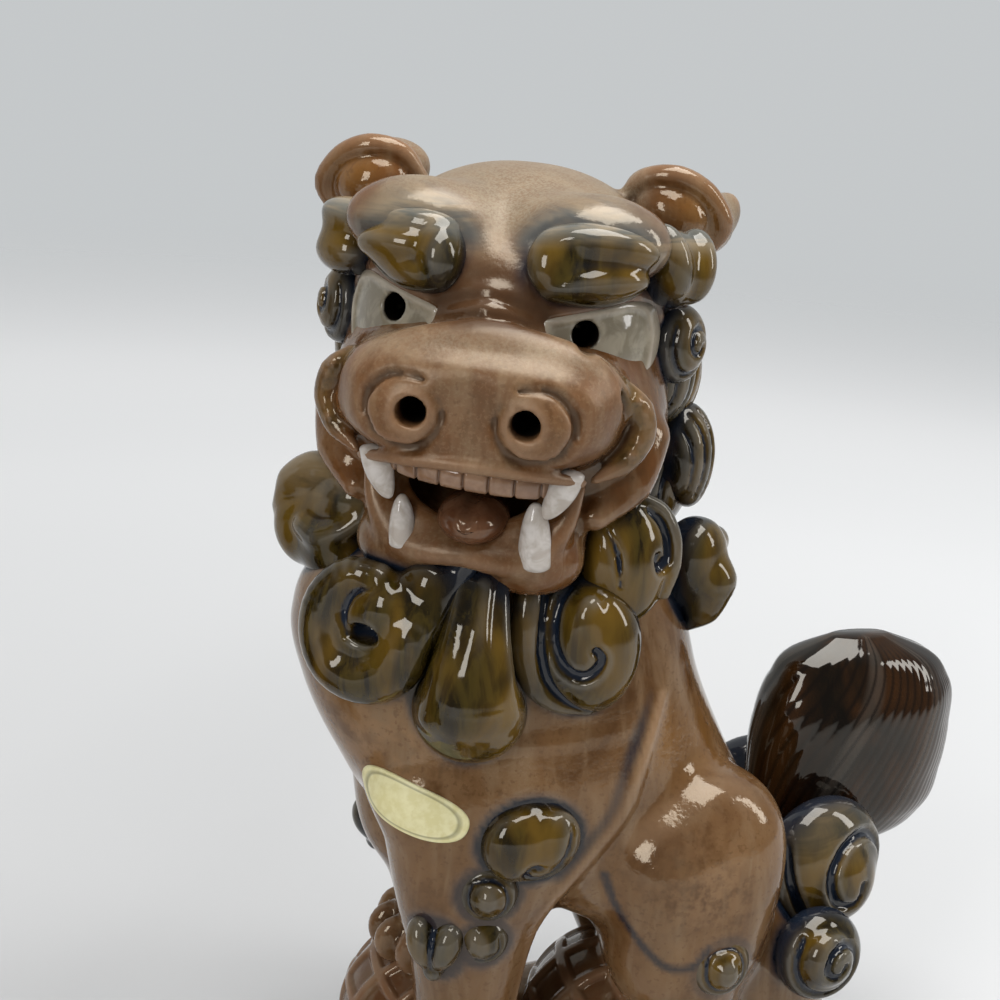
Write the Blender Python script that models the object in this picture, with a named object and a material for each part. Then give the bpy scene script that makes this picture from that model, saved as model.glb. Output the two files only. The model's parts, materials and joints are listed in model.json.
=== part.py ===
"""A pair of glazed ceramic guardian lion-dogs, one with the mouth open and one with it shut.

Every length below is in millimetres and is turned into metres when a piece is placed.  A dog is
described in its own frame: the floor is z = 0, the body looks along -X, its own left side is -Y.
The head has a frame of its own inside that one: u across the face, v out of the face, w up.
The second dog is the first one mirrored across X = 0, with a shut mouth.
"""
import math

import bmesh
import bpy
from mathutils import Euler, Matrix, Vector

MM = 0.001

# the pair
DOG_OFFSET = 100.0        # each dog's own origin stands this far from the middle of the pair
DOG_SETBACK = -4.4        # puts the middle of the pair's depth on Y = 0
FLOOR_ALLOWANCE = 0.6     # ground off the feet so that they stand flat
GROUND_SPAN = 200.0       # half width of the flat that the feet are ground on
GROUND_DEPTH = 60.0
SEAM_GAP = 0.3            # clearance where two clay pieces were luted together
WALL = 4.5                # thickness of the cast walls

# trunk
# each station: centre x, centre z, half length, half width, tilt of the section in degrees
RUMP_FOOT = (50.0, -FLOOR_ALLOWANCE, 15.0, 19.0, 0.0)
RUMP_EDGE = (50.0, 2.5, 18.0, 22.0, 0.0)
RUMP_LOW = (50.0, 14.0, 20.0, 25.5, 0.0)
RUMP_MID = (49.0, 34.0, 20.5, 28.0, 6.0)
RUMP_TOP = (42.0, 56.0, 24.0, 29.5, 20.0)
LOIN = (28.0, 76.0, 28.0, 29.5, 36.0)
RIBS = (9.0, 91.0, 34.0, 29.5, 36.0)
BREAST = (-3.0, 104.0, 40.0, 29.5, 28.0)
CHEST = (-11.5, 118.0, 42.0, 28.5, 14.0)
SHOULDER = (-15.0, 131.0, 42.0, 25.5, 3.0)
NECK_LOW = (-14.5, 143.0, 35.0, 22.0, 0.0)
NECK_TOP = (-11.0, 149.5, 22.0, 17.0, 0.0)
NECK_END = (-10.0, 153.4, 13.0, 10.0, 0.0)
VENT_RADIUS = 5.0

# head
HEAD_AT = (-14.4, 4.0, 177.0)
HEAD_TURN = 26.0          # degrees from the dog's left side towards its front
HEAD_ROLL = 1.5           # the dog's left cheek sits a little lower
CRANIUM_AT = (0.0, -6.0, 8.5)
CRANIUM_R = (32.5, 34.5, 33.0)
SKULL_WALL = (5.5, 5.5, 6.5)
SNOUT_AT = (0.0, 23.5, 0.5)
SNOUT_R = (27.5, 22.0, 12.5)
SNOUT_WALL = (8.5, 5.5, 6.0)


def on_skull(across, out, up):
    """A point of the head frame, as fractions of the skull's radii from its middle."""
    return tuple(CRANIUM_AT[i] + CRANIUM_R[i] * part for i, part in enumerate((across, out, up)))


def on_snout(across, out, up):
    """A point of the head frame, as fractions of the snout's radii from its middle."""
    return tuple(SNOUT_AT[i] + SNOUT_R[i] * part for i, part in enumerate((across, out, up)))


def inside(radii, wall):
    """Radii of the hollow that leaves the given wall."""
    return tuple(r - w for r, w in zip(radii, wall))


CHEEK_AT = (18.5, 9.0, -7.0)
CHEEK_R = (15.5, 20.0, 17.0)
BRAIN_R = inside(CRANIUM_R, SKULL_WALL)
NOSE_CAVITY_AT = on_snout(0.0, -0.1136, 0.12)
NOSE_CAVITY_R = inside(SNOUT_R, SNOUT_WALL)
NOSTRIL_AT = on_snout(0.3927, 0.9773, -0.12)
NOSTRIL_R = 2.4
NOSTRIL_BORE = (19.0, 7.0)                # how far the bore runs in and out of the nose
EYE_AT = on_skull(0.5538, 0.829, 0.1545)
EYE_R = (10.0, 5.2, 6.6)
EYE_YAW = 32.0
PUPIL_AT = on_skull(0.5723, 0.8986, 0.1788)
PUPIL_R = 2.5
PUPIL_BORE = (17.0, 11.0)                 # how far the bore runs in and out of the eye
JAW_AT = on_skull(0.0, 0.5565, -0.9091)
JAW_R = (23.5, 22.8, 14.3)
MOUTH_AT = (JAW_AT[0], JAW_AT[1] + 0.6053 * JAW_R[1], JAW_AT[2] + 0.07 * JAW_R[2])
MOUTH_R = (17.5, 19.0, 9.5)
SHUT_JAW_RISE = 4.5       # the shut mouth holds the jaw this much higher
TONGUE_R = (9.0, 12.0, 4.8)
TONGUE_AT = (MOUTH_AT[0], MOUTH_AT[1] - 0.25 * TONGUE_R[1], MOUTH_AT[2] - MOUTH_R[2] + 1.0417 * TONGUE_R[2])
TOOTH_ROW_AT = on_snout(0.0, 0.75, -0.936)
TOOTH_ROW_R = (18.5, 2.6, 2.4)
TOOTH_ROW_SAG = 8.556     # how far back the ends of the row lie
FANG_UP_AT = on_snout(0.6036, 0.4591, -1.272)
FANG_UP_R = (2.7, 2.7, 5.4)
FANG_LOW_AT = (0.6514 * MOUTH_R[0], MOUTH_AT[1] + 0.2105 * MOUTH_R[1], MOUTH_AT[2] - 0.5158 * MOUTH_R[2])
FANG_LOW_R = (3.0, 2.8, 7.4)
EAR_AT = on_skull(1.0, -0.2609, 0.8333)
EAR_R = (12.5, 8.0, 8.0)
EAR_BOWL_AT = on_skull(1.0615, -0.1304, 0.803)
EAR_BOWL_R = (8.5, 6.5, 4.6)
EAR_LEAN = 18.0
BROW_AT = on_skull(0.5231, 0.858, 0.5364)
BROW_R = (11.6, 7.2, 7.6)
BROW_END_AT = on_skull(0.9908, 0.4493, 0.5182)
BROW_END_R = (6.4, 8.6, 9.2)
TEMPLE_AT = on_skull(1.0646, 0.2319, 0.0606)
TEMPLE_R = (5.0, 7.0, 8.0)

# collar and mane
TUFT_AT = (-26.0, -27.0, 123.0)
TUFT_R = (11.0, 7.6, 17.0)
TUFT_YAW = -24.0
CHIN_LEFT_AT = (-5.6, -26.5, 130.0)
CHIN_LEFT_R = (13.5, 9.0, 14.5)
CHIN_RIGHT_AT = (-44.5, -18.0, 132.5)
CHIN_RIGHT_R = (13.8, 9.0, 13.6)
CHIN_RIGHT_YAW = -40.0
NECK_LEFT_AT = (6.0, -23.0, 145.5)
NECK_LEFT_R = (8.8, 8.0, 13.8)
NECK_RIGHT_AT = (-46.5, 6.5, 147.5)
NECK_RIGHT_R = (11.6, 12.5, 13.6)
LOCK_LOW_AT = (HEAD_AT[0] + CRANIUM_R[0] + 7.9, -9.0, 140.0)
LOCK_LOW_R = (6.4, 10.0, 12.5)
LOCK_MID_AT = (HEAD_AT[0] + CRANIUM_R[0] + 6.4, -2.0, 161.0)
LOCK_MID_R = (5.6, 9.0, 12.0)
MANE_SIDE_LOBES = (                       # in the head frame
    (on_skull(0.9538, -0.2029, -0.5303), (9.0, 12.5, 13.0)),
    (on_skull(0.9231, -0.1739, -0.0758), (8.0, 10.0, 11.0)),
    (on_skull(1.0154, -0.2319, -1.0455), (9.5, 11.5, 12.0)),
)
NAPE_AT = on_skull(0.0, -0.7826, -0.5)    # in the head frame
NAPE_R = (25.0, 13.0, 31.0)
NAPE_KNOBS = (                            # offset from the middle of the nape, and radius
    ((-14.0, -5.5, 18.0), 7.4), ((0.0, -7.5, 22.0), 7.4), ((14.0, -5.5, 18.0), 7.4),
    ((-20.0, -3.5, 4.0), 7.0), ((-7.0, -9.0, 7.0), 7.2), ((7.0, -9.0, 7.0), 7.2), ((20.0, -3.5, 4.0), 7.0),
    ((-14.5, -6.5, -8.0), 7.4), ((0.0, -10.5, -7.5), 7.6), ((14.5, -6.5, -8.0), 7.4),
    ((-8.0, -5.5, -21.0), 7.4), ((8.0, -5.5, -21.0), 7.4),
)
NAPE_KNOB_DEPTH = 6.0

# legs
LEG_Y = 17.0
# each station: centre x, centre z, half length, half width
LEG_TOP = (-13.0, 108.0, 22.0, 10.5)
LEG_SHOULDER = (-14.0, 99.0, 29.0, 14.0)
LEG_UPPER = (-16.0, 84.0, 23.6, 15.0)
LEG_ELBOW = (-21.0, 68.0, 15.0, 14.2)
LEG_FORE = (-21.0, 56.0, 11.8, 12.4)
LEG_WRIST = (-21.0, 43.0, 10.2, 11.2)
LEG_ANKLE = (-20.5, 30.0, 10.2, 10.8)
PAW_TOP = (-22.0, 20.0, 13.6, 12.2)
PAW_MID = (-25.5, 10.0, 18.4, 13.6)
PAW_LOW = (-26.0, 2.5, 18.6, 13.8)
PAW_SOLE = (-26.0, -FLOOR_ALLOWANCE, 16.6, 12.0)
LEG_CURLS = (
    ((-14.0, -30.0, 90.0), (11.0, 5.6, 9.2)),
    ((-21.5, -28.6, 78.0), (6.2, 4.8, 6.2)),
    ((-23.0, -27.4, 67.0), (5.4, 4.6, 5.6)),
    ((-31.0, -25.0, 64.0), (5.0, 4.6, 6.4)),
)
THIGH_AT = (31.5, -23.0, 71.0)
THIGH_R = (22.5, 15.5, 28.5)
SHIN_KNEE = (20.0, -25.0, 60.0)
SHIN_HEEL = (39.0, -28.0, 17.0)
SHIN_R = 10.5
HIND_FOOT_AT = (20.0, -31.0, 7.5)
HIND_FOOT_R = (22.0, 11.5, 11.0)
THIGH_CURLS = (
    ((27.5, -35.0, 60.5), (5.6, 4.4, 5.8)),
    ((52.0, -31.5, 55.5), (9.6, 7.0, 9.8)),
)

# balls and tail
PAW_BALL_AT = (-19.0, 18.0, 20.2)
PAW_BALL_R = 20.6
# the raised paw, from its sole on the ball to the forearm
RAISED_SOLE = (-17.5, 34.0, 10.6, 10.0)
RAISED_PAW = (-19.1, 41.2, 13.5, 12.1)
RAISED_TOP = (-18.0, 50.0, 12.4, 12.0)
RAISED_WRIST = (-19.0, 59.0, 12.8, 12.6)
BELLY_BALL_AT = (22.5, 0.0, 22.4)
BELLY_BALL_R = 23.0
PLUME_AT = (73.0, 0.5, 91.0)
PLUME_R = (22.0, 14.0, 27.5)
PLUME_LOBES = (
    ((86.0, 0.5, 100.0), (13.0, 11.0, 17.0)),
    ((87.0, 0.5, 79.0), (11.0, 10.0, 14.0)),
)
TAIL_ROOT_AT = (66.0, 0.0, 68.0)
TAIL_ROOT_R = (11.0, 14.0, 12.0)
TAIL_CURL_AT = (63.0, -18.0, 71.5)
TAIL_CURL_R = (13.0, 8.0, 13.6)

# blank paper label
LABEL_AT = (-38.0, 95.0)
LABEL_R = (11.6, 6.6)
LABEL_TILT = -16.0
LABEL_THICK = 0.5

COLOURS = {
    "clay": ((0.245, 0.095, 0.042), 0.24),
    "face": ((0.205, 0.066, 0.030), 0.28),
    "curl": ((0.060, 0.034, 0.008), 0.10),
    "plume": ((0.050, 0.018, 0.008), 0.12),
    "ball": ((0.235, 0.105, 0.052), 0.26),
    "white": ((0.560, 0.520, 0.470), 0.22),
    "bone": ((0.400, 0.285, 0.185), 0.30),
    "tongue": ((0.170, 0.050, 0.026), 0.30),
    "paper": ((0.760, 0.690, 0.330), 0.55),
}

for old in list(bpy.data.objects):
    bpy.data.objects.remove(old, do_unlink=True)

scene = bpy.context.scene
pair_collection = bpy.data.collections.new("guardian_dog_pair")
cutter_collection = bpy.data.collections.new("cutters")
scene.collection.children.link(pair_collection)
scene.collection.children.link(cutter_collection)


def head_matrix():
    """Matrix from the head frame (u, v, w) to the dog's own frame."""
    turn = math.radians(HEAD_TURN)
    c, s = math.cos(turn), math.sin(turn)
    face = Matrix(((c, -s, 0.0, 0.0), (-s, -c, 0.0, 0.0), (0.0, 0.0, 1.0, 0.0), (0.0, 0.0, 0.0, 1.0)))
    roll = Matrix.Rotation(math.radians(HEAD_ROLL), 4, "Y")
    return Matrix.Translation(Vector(HEAD_AT)) @ face @ roll


HEAD = head_matrix()
BODY = Matrix.Identity(4)


def blob(centre, radii, turn=(0.0, 0.0, 0.0), power=2.0, taper=0.0, bend=0.0, segs=12, rings=8,
         frame=BODY):
    """A ball drawn out to three radii: power squares it, taper narrows its top, bend bows it back."""
    bm = bmesh.new()
    bmesh.ops.create_uvsphere(bm, u_segments=segs, v_segments=rings, radius=1.0)
    seam = Matrix.Rotation(math.radians(11.0 + 0.7 * (centre[0] + centre[2])), 3, "Z")
    for vert in bm.verts:
        co = seam @ vert.co.normalized()
        total = abs(co.x) ** power + abs(co.y) ** power + abs(co.z) ** power
        co *= total ** (-1.0 / power)
        slim = 1.0 - taper * co.z
        x = co.x * radii[0] * slim
        vert.co = Vector((x, co.y * radii[1] * slim - bend * x * x, co.z * radii[2]))
    spin = Euler([math.radians(a) for a in turn]).to_matrix().to_4x4()
    bm.transform(frame @ Matrix.Translation(Vector(centre)) @ spin)
    return bm


def loft(stations, y=0.0, segs=14, power=2.2):
    """Oval sections (centre x, centre z, half length, half width, tilt) joined in order."""
    bm = bmesh.new()
    rows = []
    for station in stations:
        x, z, half_length, half_width = station[:4]
        tilt = math.radians(station[4]) if len(station) > 4 else 0.0
        row = []
        for i in range(segs):
            a = 2.0 * math.pi * (i + 0.37) / segs
            c, s = math.cos(a), math.sin(a)
            size = (abs(c) ** power + abs(s) ** power) ** (-1.0 / power)
            along = half_length * c * size
            across = half_width * s * size
            row.append(bm.verts.new((x + along * math.cos(tilt), y + across, z + along * math.sin(tilt))))
        rows.append(row)
    for low, high in zip(rows, rows[1:]):
        for i in range(segs):
            j = (i + 1) % segs
            bm.faces.new((low[i], low[j], high[j], high[i]))
    bm.faces.new(rows[0])
    bm.faces.new(rows[-1])
    return bm


def rod(start, end, radius, segs=10, rings=4, frame=BODY):
    """A round-ended rod between two points."""
    a, b = Vector(start), Vector(end)
    length = (b - a).length
    bm = bmesh.new()
    bmesh.ops.create_uvsphere(bm, u_segments=segs, v_segments=rings, radius=radius)
    for vert in bm.verts:
        vert.co.z += length / 2.0 if vert.co.z > 0.0 else -length / 2.0
    aim = (b - a).to_track_quat("Z", "Y").to_matrix().to_4x4()
    bm.transform(frame @ Matrix.Translation((a + b) / 2.0) @ aim)
    return bm


def drum(start, end, radius, segs=12, frame=BODY):
    """A plain cylinder between two points, for holes."""
    a, b = Vector(start), Vector(end)
    bm = bmesh.new()
    bmesh.ops.create_cone(bm, cap_ends=True, segments=segs, radius1=radius, radius2=radius,
                          depth=(b - a).length)
    aim = (b - a).to_track_quat("Z", "Y").to_matrix().to_4x4()
    bm.transform(frame @ Matrix.Translation((a + b) / 2.0) @ aim)
    return bm


def block(low, high):
    """A box between two corners."""
    bm = bmesh.new()
    bmesh.ops.create_cube(bm, size=1.0)
    low, high = Vector(low), Vector(high)
    for vert in bm.verts:
        vert.co = Vector([low[i] + (high[i] - low[i]) * (vert.co[i] + 0.5) for i in range(3)])
    return bm


def outward(bm):
    """A copy in flat triangles with every face turned outwards."""
    copy = bm.copy()
    bmesh.ops.triangulate(copy, faces=copy.faces[:])
    bmesh.ops.recalc_face_normals(copy, faces=copy.faces[:])
    if copy.calc_volume(signed=True) < 0.0:
        bmesh.ops.reverse_faces(copy, faces=copy.faces[:])
    return copy


def grown(bm, by):
    """A copy whose surface lies further out by the given distance."""
    copy = outward(bm)
    copy.normal_update()
    moves = [(vert, vert.normal * by * vert.calc_shell_factor()) for vert in copy.verts]
    for vert, move in moves:
        vert.co += move
    return copy


def flipped(bm):
    """A copy mirrored to the dog's other flank."""
    copy = bm.copy()
    copy.transform(Matrix.Diagonal((1.0, -1.0, 1.0, 1.0)))
    return copy


def mirror_u(point):
    return (-point[0], point[1], point[2])


class Dog:
    """Places the pieces of one dog and remembers what later pieces must keep clear of."""

    def __init__(self, prefix, side):
        self.prefix = prefix
        self.side = side
        self.cores = {}
        self.grown_cores = {}
        self.frame = bpy.data.objects.new(prefix + "_frame", None)
        self.frame.location = (side * DOG_OFFSET * MM, DOG_SETBACK * MM, 0.0)
        pair_collection.objects.link(self.frame)

    def mesh_object(self, name, bm, collection):
        """An object at the middle of its own mesh, in metres, mirrored when the dog is."""
        bm = outward(bm)
        bm.transform(Matrix.Diagonal((self.side * MM, MM, MM, 1.0)))
        if self.side < 0.0:
            bmesh.ops.reverse_faces(bm, faces=bm.faces[:])
        low = Vector([min(v.co[i] for v in bm.verts) for i in range(3)])
        high = Vector([max(v.co[i] for v in bm.verts) for i in range(3)])
        middle = (low + high) / 2.0
        bm.transform(Matrix.Translation(-middle))
        mesh = bpy.data.meshes.new(name)
        bm.to_mesh(mesh)
        bm.free()
        obj = bpy.data.objects.new(name, mesh)
        obj.location = middle
        obj.parent = self.frame
        collection.objects.link(obj)
        return obj

    def cutter(self, name, bm):
        """A hidden solid for a Boolean."""
        obj = self.mesh_object(self.prefix + "_cut_" + name, bm, cutter_collection)
        obj.hide_render = True
        obj.display_type = "WIRE"
        return obj

    def boolean(self, obj, operation, other):
        step = obj.modifiers.new(operation.lower(), "BOOLEAN")
        step.operation = operation
        step.solver = "EXACT"
        step.object = other

    def add(self, name, bm, colour, join=(), clear=(), bore=(), keep=None, thin=0.8, stands=False):
        """One clay piece: its blank, what is joined to it, what it keeps clear of, its holes."""
        obj = self.mesh_object(self.prefix + "_" + name, bm, pair_collection)
        for i, extra in enumerate(join):
            self.boolean(obj, "UNION", self.cutter("%s_join_%d" % (name, i), extra))
        if keep is not None:
            self.boolean(obj, "INTERSECT", self.cutter(name + "_keep", keep))
        for other in clear:
            for core in self.grown_core(other):
                self.boolean(obj, "DIFFERENCE", core)
        for i, hole in enumerate(bore):
            self.boolean(obj, "DIFFERENCE", self.cutter("%s_bore_%d" % (name, i), hole))
        if thin < 1.0:
            step = obj.modifiers.new("thin", "DECIMATE")
            step.decimate_type = "COLLAPSE"
            step.ratio = thin
        if stands:
            ground = block((-GROUND_SPAN, -GROUND_SPAN, -GROUND_DEPTH), (GROUND_SPAN, GROUND_SPAN, 0.0))
            self.boolean(obj, "DIFFERENCE", self.cutter(name + "_ground", ground))
        obj.data.materials.append(material(self.prefix + "_" + name, colour))
        for polygon in obj.data.polygons:
            polygon.use_smooth = True
        self.cores[name] = [bm] + list(join)
        return obj

    def grown_core(self, name):
        """The hidden solids of a finished piece, grown by the seam gap."""
        if name not in self.grown_cores:
            self.grown_cores[name] = [self.cutter("%s_seat_%d" % (name, i), grown(core, SEAM_GAP))
                                      for i, core in enumerate(self.cores[name])]
        return self.grown_cores[name]


def material(name, colour):
    """A glaze or paper material of its own for one piece."""
    rgb, roughness = COLOURS[colour]
    mat = bpy.data.materials.new(name)
    mat.use_nodes = True
    shader = mat.node_tree.nodes["Principled BSDF"]
    shader.inputs["Base Color"].default_value = (rgb[0], rgb[1], rgb[2], 1.0)
    shader.inputs["Roughness"].default_value = roughness
    shader.inputs["Metallic"].default_value = 0.0
    if colour != "paper":
        shader.inputs["Coat Weight"].default_value = 0.6
        shader.inputs["Coat Roughness"].default_value = 0.05
    return mat


def pupil_drum(at):
    """The bore of a pupil, through the eye inlay into the hollow of the head."""
    deep, out = PUPIL_BORE
    return drum((at[0] * 0.72, at[1] - deep, at[2] - 1.0), (at[0] * 1.08, at[1] + out, at[2] + 1.0),
                PUPIL_R, frame=HEAD)


def build_dog(prefix, side, mouth_open):
    """All the pieces of one dog."""
    dog = Dog(prefix, side)
    trunk_stations = (RUMP_FOOT, RUMP_EDGE, RUMP_LOW, RUMP_MID, RUMP_TOP, LOIN, RIBS, BREAST, CHEST,
                      SHOULDER, NECK_LOW, NECK_TOP, NECK_END)

    # trunk: hollow casting with a vent hole under the rump
    trunk = loft(trunk_stations)
    vent = drum((RUMP_FOOT[0], 0.0, -10.0), (RUMP_FOOT[0], 0.0, WALL + 8.0), VENT_RADIUS)
    dog.add("torso", trunk, "clay", bore=(grown(trunk, -WALL), vent), thin=1.0, stands=True)

    # head: hollow casting with the eye and nostril holes open to the hollow
    lift = 0.0 if mouth_open else SHUT_JAW_RISE
    mouth = blob(MOUTH_AT, MOUTH_R, frame=HEAD, segs=14, rings=8)
    cheeks = [blob(at, CHEEK_R, frame=HEAD, segs=10, rings=7) for at in (CHEEK_AT, mirror_u(CHEEK_AT))]
    snout = blob(SNOUT_AT, SNOUT_R, power=2.6, frame=HEAD, segs=16, rings=9)
    cranium = blob(CRANIUM_AT, CRANIUM_R, power=2.3, frame=HEAD, segs=18, rings=11)
    holes = [blob(CRANIUM_AT, BRAIN_R, frame=HEAD, segs=10, rings=7),
             blob(NOSE_CAVITY_AT, NOSE_CAVITY_R, frame=HEAD, segs=10, rings=6)]
    if mouth_open:
        holes.append(mouth)
    pupils = []
    for at in (PUPIL_AT, mirror_u(PUPIL_AT)):
        pupils.append(pupil_drum(at))
    for at in (NOSTRIL_AT, mirror_u(NOSTRIL_AT)):
        deep, out = NOSTRIL_BORE
        holes.append(drum((at[0] * 0.8, at[1] - deep, at[2] + NOSTRIL_R), (at[0], at[1] + out, at[2]),
                          NOSTRIL_R, frame=HEAD))
    dog.add("head", cranium, "face", join=[snout] + cheeks, clear=("torso",), bore=holes + pupils)

    jaw_at = (JAW_AT[0], JAW_AT[1], JAW_AT[2] + lift)
    dog.add("lower_jaw", blob(jaw_at, JAW_R, power=2.3, frame=HEAD, segs=14, rings=8), "face",
            clear=("head", "torso"), bore=(mouth,) if mouth_open else ())

    if mouth_open:
        dog.add("tongue", blob(TONGUE_AT, TONGUE_R, frame=HEAD, segs=12, rings=7), "tongue",
                keep=grown(mouth, -SEAM_GAP), clear=("torso",))
        row = blob(TOOTH_ROW_AT, TOOTH_ROW_R, bend=TOOTH_ROW_SAG / TOOTH_ROW_R[0] ** 2, frame=HEAD,
                   segs=12, rings=6)
        rest = []
        for at in (FANG_UP_AT, mirror_u(FANG_UP_AT)):
            rest.append(blob(at, FANG_UP_R, taper=-0.35, frame=HEAD, segs=8, rings=6))
        dog.add("upper_teeth", row, "bone", join=rest, clear=("head",))
        for word, at in (("left", FANG_LOW_AT), ("right", mirror_u(FANG_LOW_AT))):
            dog.add("lower_fang_" + word, blob(at, FANG_LOW_R, taper=0.35, frame=HEAD, segs=8, rings=6),
                    "white", keep=grown(mouth, -SEAM_GAP))

    build_face(dog)
    build_collar(dog)
    build_legs(dog)
    build_tail(dog)
    if mouth_open:
        build_label(dog)
    return dog


def build_face(dog):
    """Ears, brows and eye inlays, left and right."""
    for word, flip in (("left", 1.0), ("right", -1.0)):
        def at(point):
            return (flip * point[0], point[1], point[2])
        ear = blob(at(EAR_AT), EAR_R, turn=(0.0, flip * EAR_LEAN, 0.0), frame=HEAD, segs=12, rings=7)
        bowl = blob(at(EAR_BOWL_AT), EAR_BOWL_R, turn=(0.0, flip * EAR_LEAN, 0.0), frame=HEAD,
                    segs=10, rings=6)
        dog.add("ear_" + word, ear, "face", clear=("head",), bore=(bowl,))
        dog.add("brow_" + word, blob(at(BROW_AT), BROW_R, turn=(0.0, 0.0, -flip * 20.0), frame=HEAD),
                "curl", clear=("head",))
        dog.add("brow_end_" + word, blob(at(BROW_END_AT), BROW_END_R, frame=HEAD, segs=12, rings=8),
                "curl", clear=("head", "brow_" + word, "ear_" + word))
        dog.add("eye_" + word, blob(at(EYE_AT), EYE_R, turn=(0.0, 0.0, -flip * EYE_YAW), frame=HEAD,
                                    segs=12, rings=6),
                "white", clear=("head", "brow_" + word, "brow_end_" + word),
                bore=(pupil_drum(at(PUPIL_AT)),))


def build_collar(dog):
    """The chin tuft, the curls round the neck and the mane behind the head."""
    dog.add("chin_tuft", blob(TUFT_AT, TUFT_R, turn=(-8.0, 0.0, TUFT_YAW), taper=0.42, segs=12, rings=9),
            "curl", clear=("torso", "head", "lower_jaw"))
    dog.add("chin_curl_left", blob(CHIN_LEFT_AT, CHIN_LEFT_R, segs=14, rings=9), "curl",
            clear=("torso", "head", "lower_jaw", "chin_tuft"))
    dog.add("chin_curl_right", blob(CHIN_RIGHT_AT, CHIN_RIGHT_R, turn=(0.0, 0.0, CHIN_RIGHT_YAW),
                                    segs=14, rings=9), "curl",
            clear=("torso", "head", "lower_jaw", "chin_tuft"))
    dog.add("neck_curl_left", blob(NECK_LEFT_AT, NECK_LEFT_R, turn=(0.0, -12.0, 0.0), segs=12, rings=7),
            "curl", clear=("torso", "head", "lower_jaw", "chin_curl_left"))
    dog.add("neck_curl_right", blob(NECK_RIGHT_AT, NECK_RIGHT_R, segs=12, rings=8), "curl",
            clear=("torso", "head", "lower_jaw", "chin_curl_right"))
    for word, flip in (("left", 1.0), ("right", -1.0)):
        def at(point):
            return (flip * point[0], point[1], point[2])
        lobes = [blob(at(place), size, frame=HEAD, segs=10, rings=7) for place, size in MANE_SIDE_LOBES]
        temple = blob(at(TEMPLE_AT), TEMPLE_R, frame=HEAD, segs=8, rings=6)
        locks = [temple] + lobes[1:]
        if word == "left":
            locks += [blob(LOCK_LOW_AT, LOCK_LOW_R, segs=8, rings=6),
                      blob(LOCK_MID_AT, LOCK_MID_R, segs=8, rings=6)]
        dog.add("mane_" + word, lobes[0], "curl", join=locks,
                clear=("torso", "head", "lower_jaw", "neck_curl_" + word, "ear_" + word,
                       "brow_end_" + word))
    locks = []
    for offset, r in NAPE_KNOBS:
        at = tuple(NAPE_AT[i] + offset[i] for i in range(3))
        locks.append(blob(at, (r, NAPE_KNOB_DEPTH, r), frame=HEAD, segs=8, rings=5))
    dog.add("mane_back", blob(NAPE_AT, NAPE_R, frame=HEAD, segs=10, rings=7), "curl", join=locks,
            clear=("torso", "head", "mane_left", "mane_right", "ear_left", "ear_right"))


def build_legs(dog):
    """Forelegs, haunches and the two balls."""
    dog.add("paw_ball", blob(PAW_BALL_AT, (PAW_BALL_R,) * 3, segs=14, rings=8), "ball",
            stands=True)
    upper = (LEG_TOP, LEG_SHOULDER, LEG_UPPER, LEG_ELBOW, LEG_FORE, LEG_WRIST)
    planted = loft((PAW_SOLE, PAW_LOW, PAW_MID, PAW_TOP, LEG_ANKLE) + upper[::-1], y=-LEG_Y, segs=12)
    raised = loft((RAISED_SOLE, RAISED_PAW, RAISED_TOP, RAISED_WRIST, LEG_ELBOW, LEG_UPPER,
                   LEG_SHOULDER, LEG_TOP), y=LEG_Y, segs=12)
    curls = [blob(at, size, segs=8, rings=5) for at, size in LEG_CURLS]
    dog.add("foreleg_left", planted, "clay", join=curls, clear=("torso", "paw_ball", "chin_tuft"),
            stands=True)
    dog.add("foreleg_right", raised, "clay", join=[flipped(c) for c in curls],
            clear=("torso", "paw_ball", "foreleg_left"))
    thigh = blob(THIGH_AT, THIGH_R, turn=(0.0, 14.0, 0.0), segs=12, rings=8)
    extra = [rod(SHIN_KNEE, SHIN_HEEL, SHIN_R),
             blob(HIND_FOOT_AT, HIND_FOOT_R, power=2.4, segs=10, rings=6)]
    extra += [blob(at, size, segs=8, rings=5) for at, size in THIGH_CURLS]
    dog.add("haunch_left", thigh, "clay", join=extra, clear=("torso", "foreleg_left"), stands=True)
    dog.add("haunch_right", flipped(thigh), "clay", join=[flipped(e) for e in extra],
            clear=("torso", "foreleg_right"), stands=True)
    dog.add("belly_ball", blob(BELLY_BALL_AT, (BELLY_BALL_R,) * 3, segs=14, rings=8), "ball",
            clear=("torso", "foreleg_left", "haunch_left", "haunch_right", "paw_ball"), stands=True)


def build_tail(dog):
    """The tail root with a curl on each side, and the plume that rises out of it."""
    curl = blob(TAIL_CURL_AT, TAIL_CURL_R, turn=(0.0, 0.0, 20.0), segs=12, rings=7)
    root = blob(TAIL_ROOT_AT, TAIL_ROOT_R, segs=8, rings=6)
    dog.add("tail_root", root, "curl", join=[curl, flipped(curl)],
            clear=("torso", "haunch_left", "haunch_right"))
    lobes = [blob(at, size, segs=10, rings=7) for at, size in PLUME_LOBES]
    dog.add("tail_plume", blob(PLUME_AT, PLUME_R, power=2.3, segs=14, rings=9), "plume", join=lobes,
            clear=("torso", "tail_root", "haunch_left", "haunch_right"))


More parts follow.
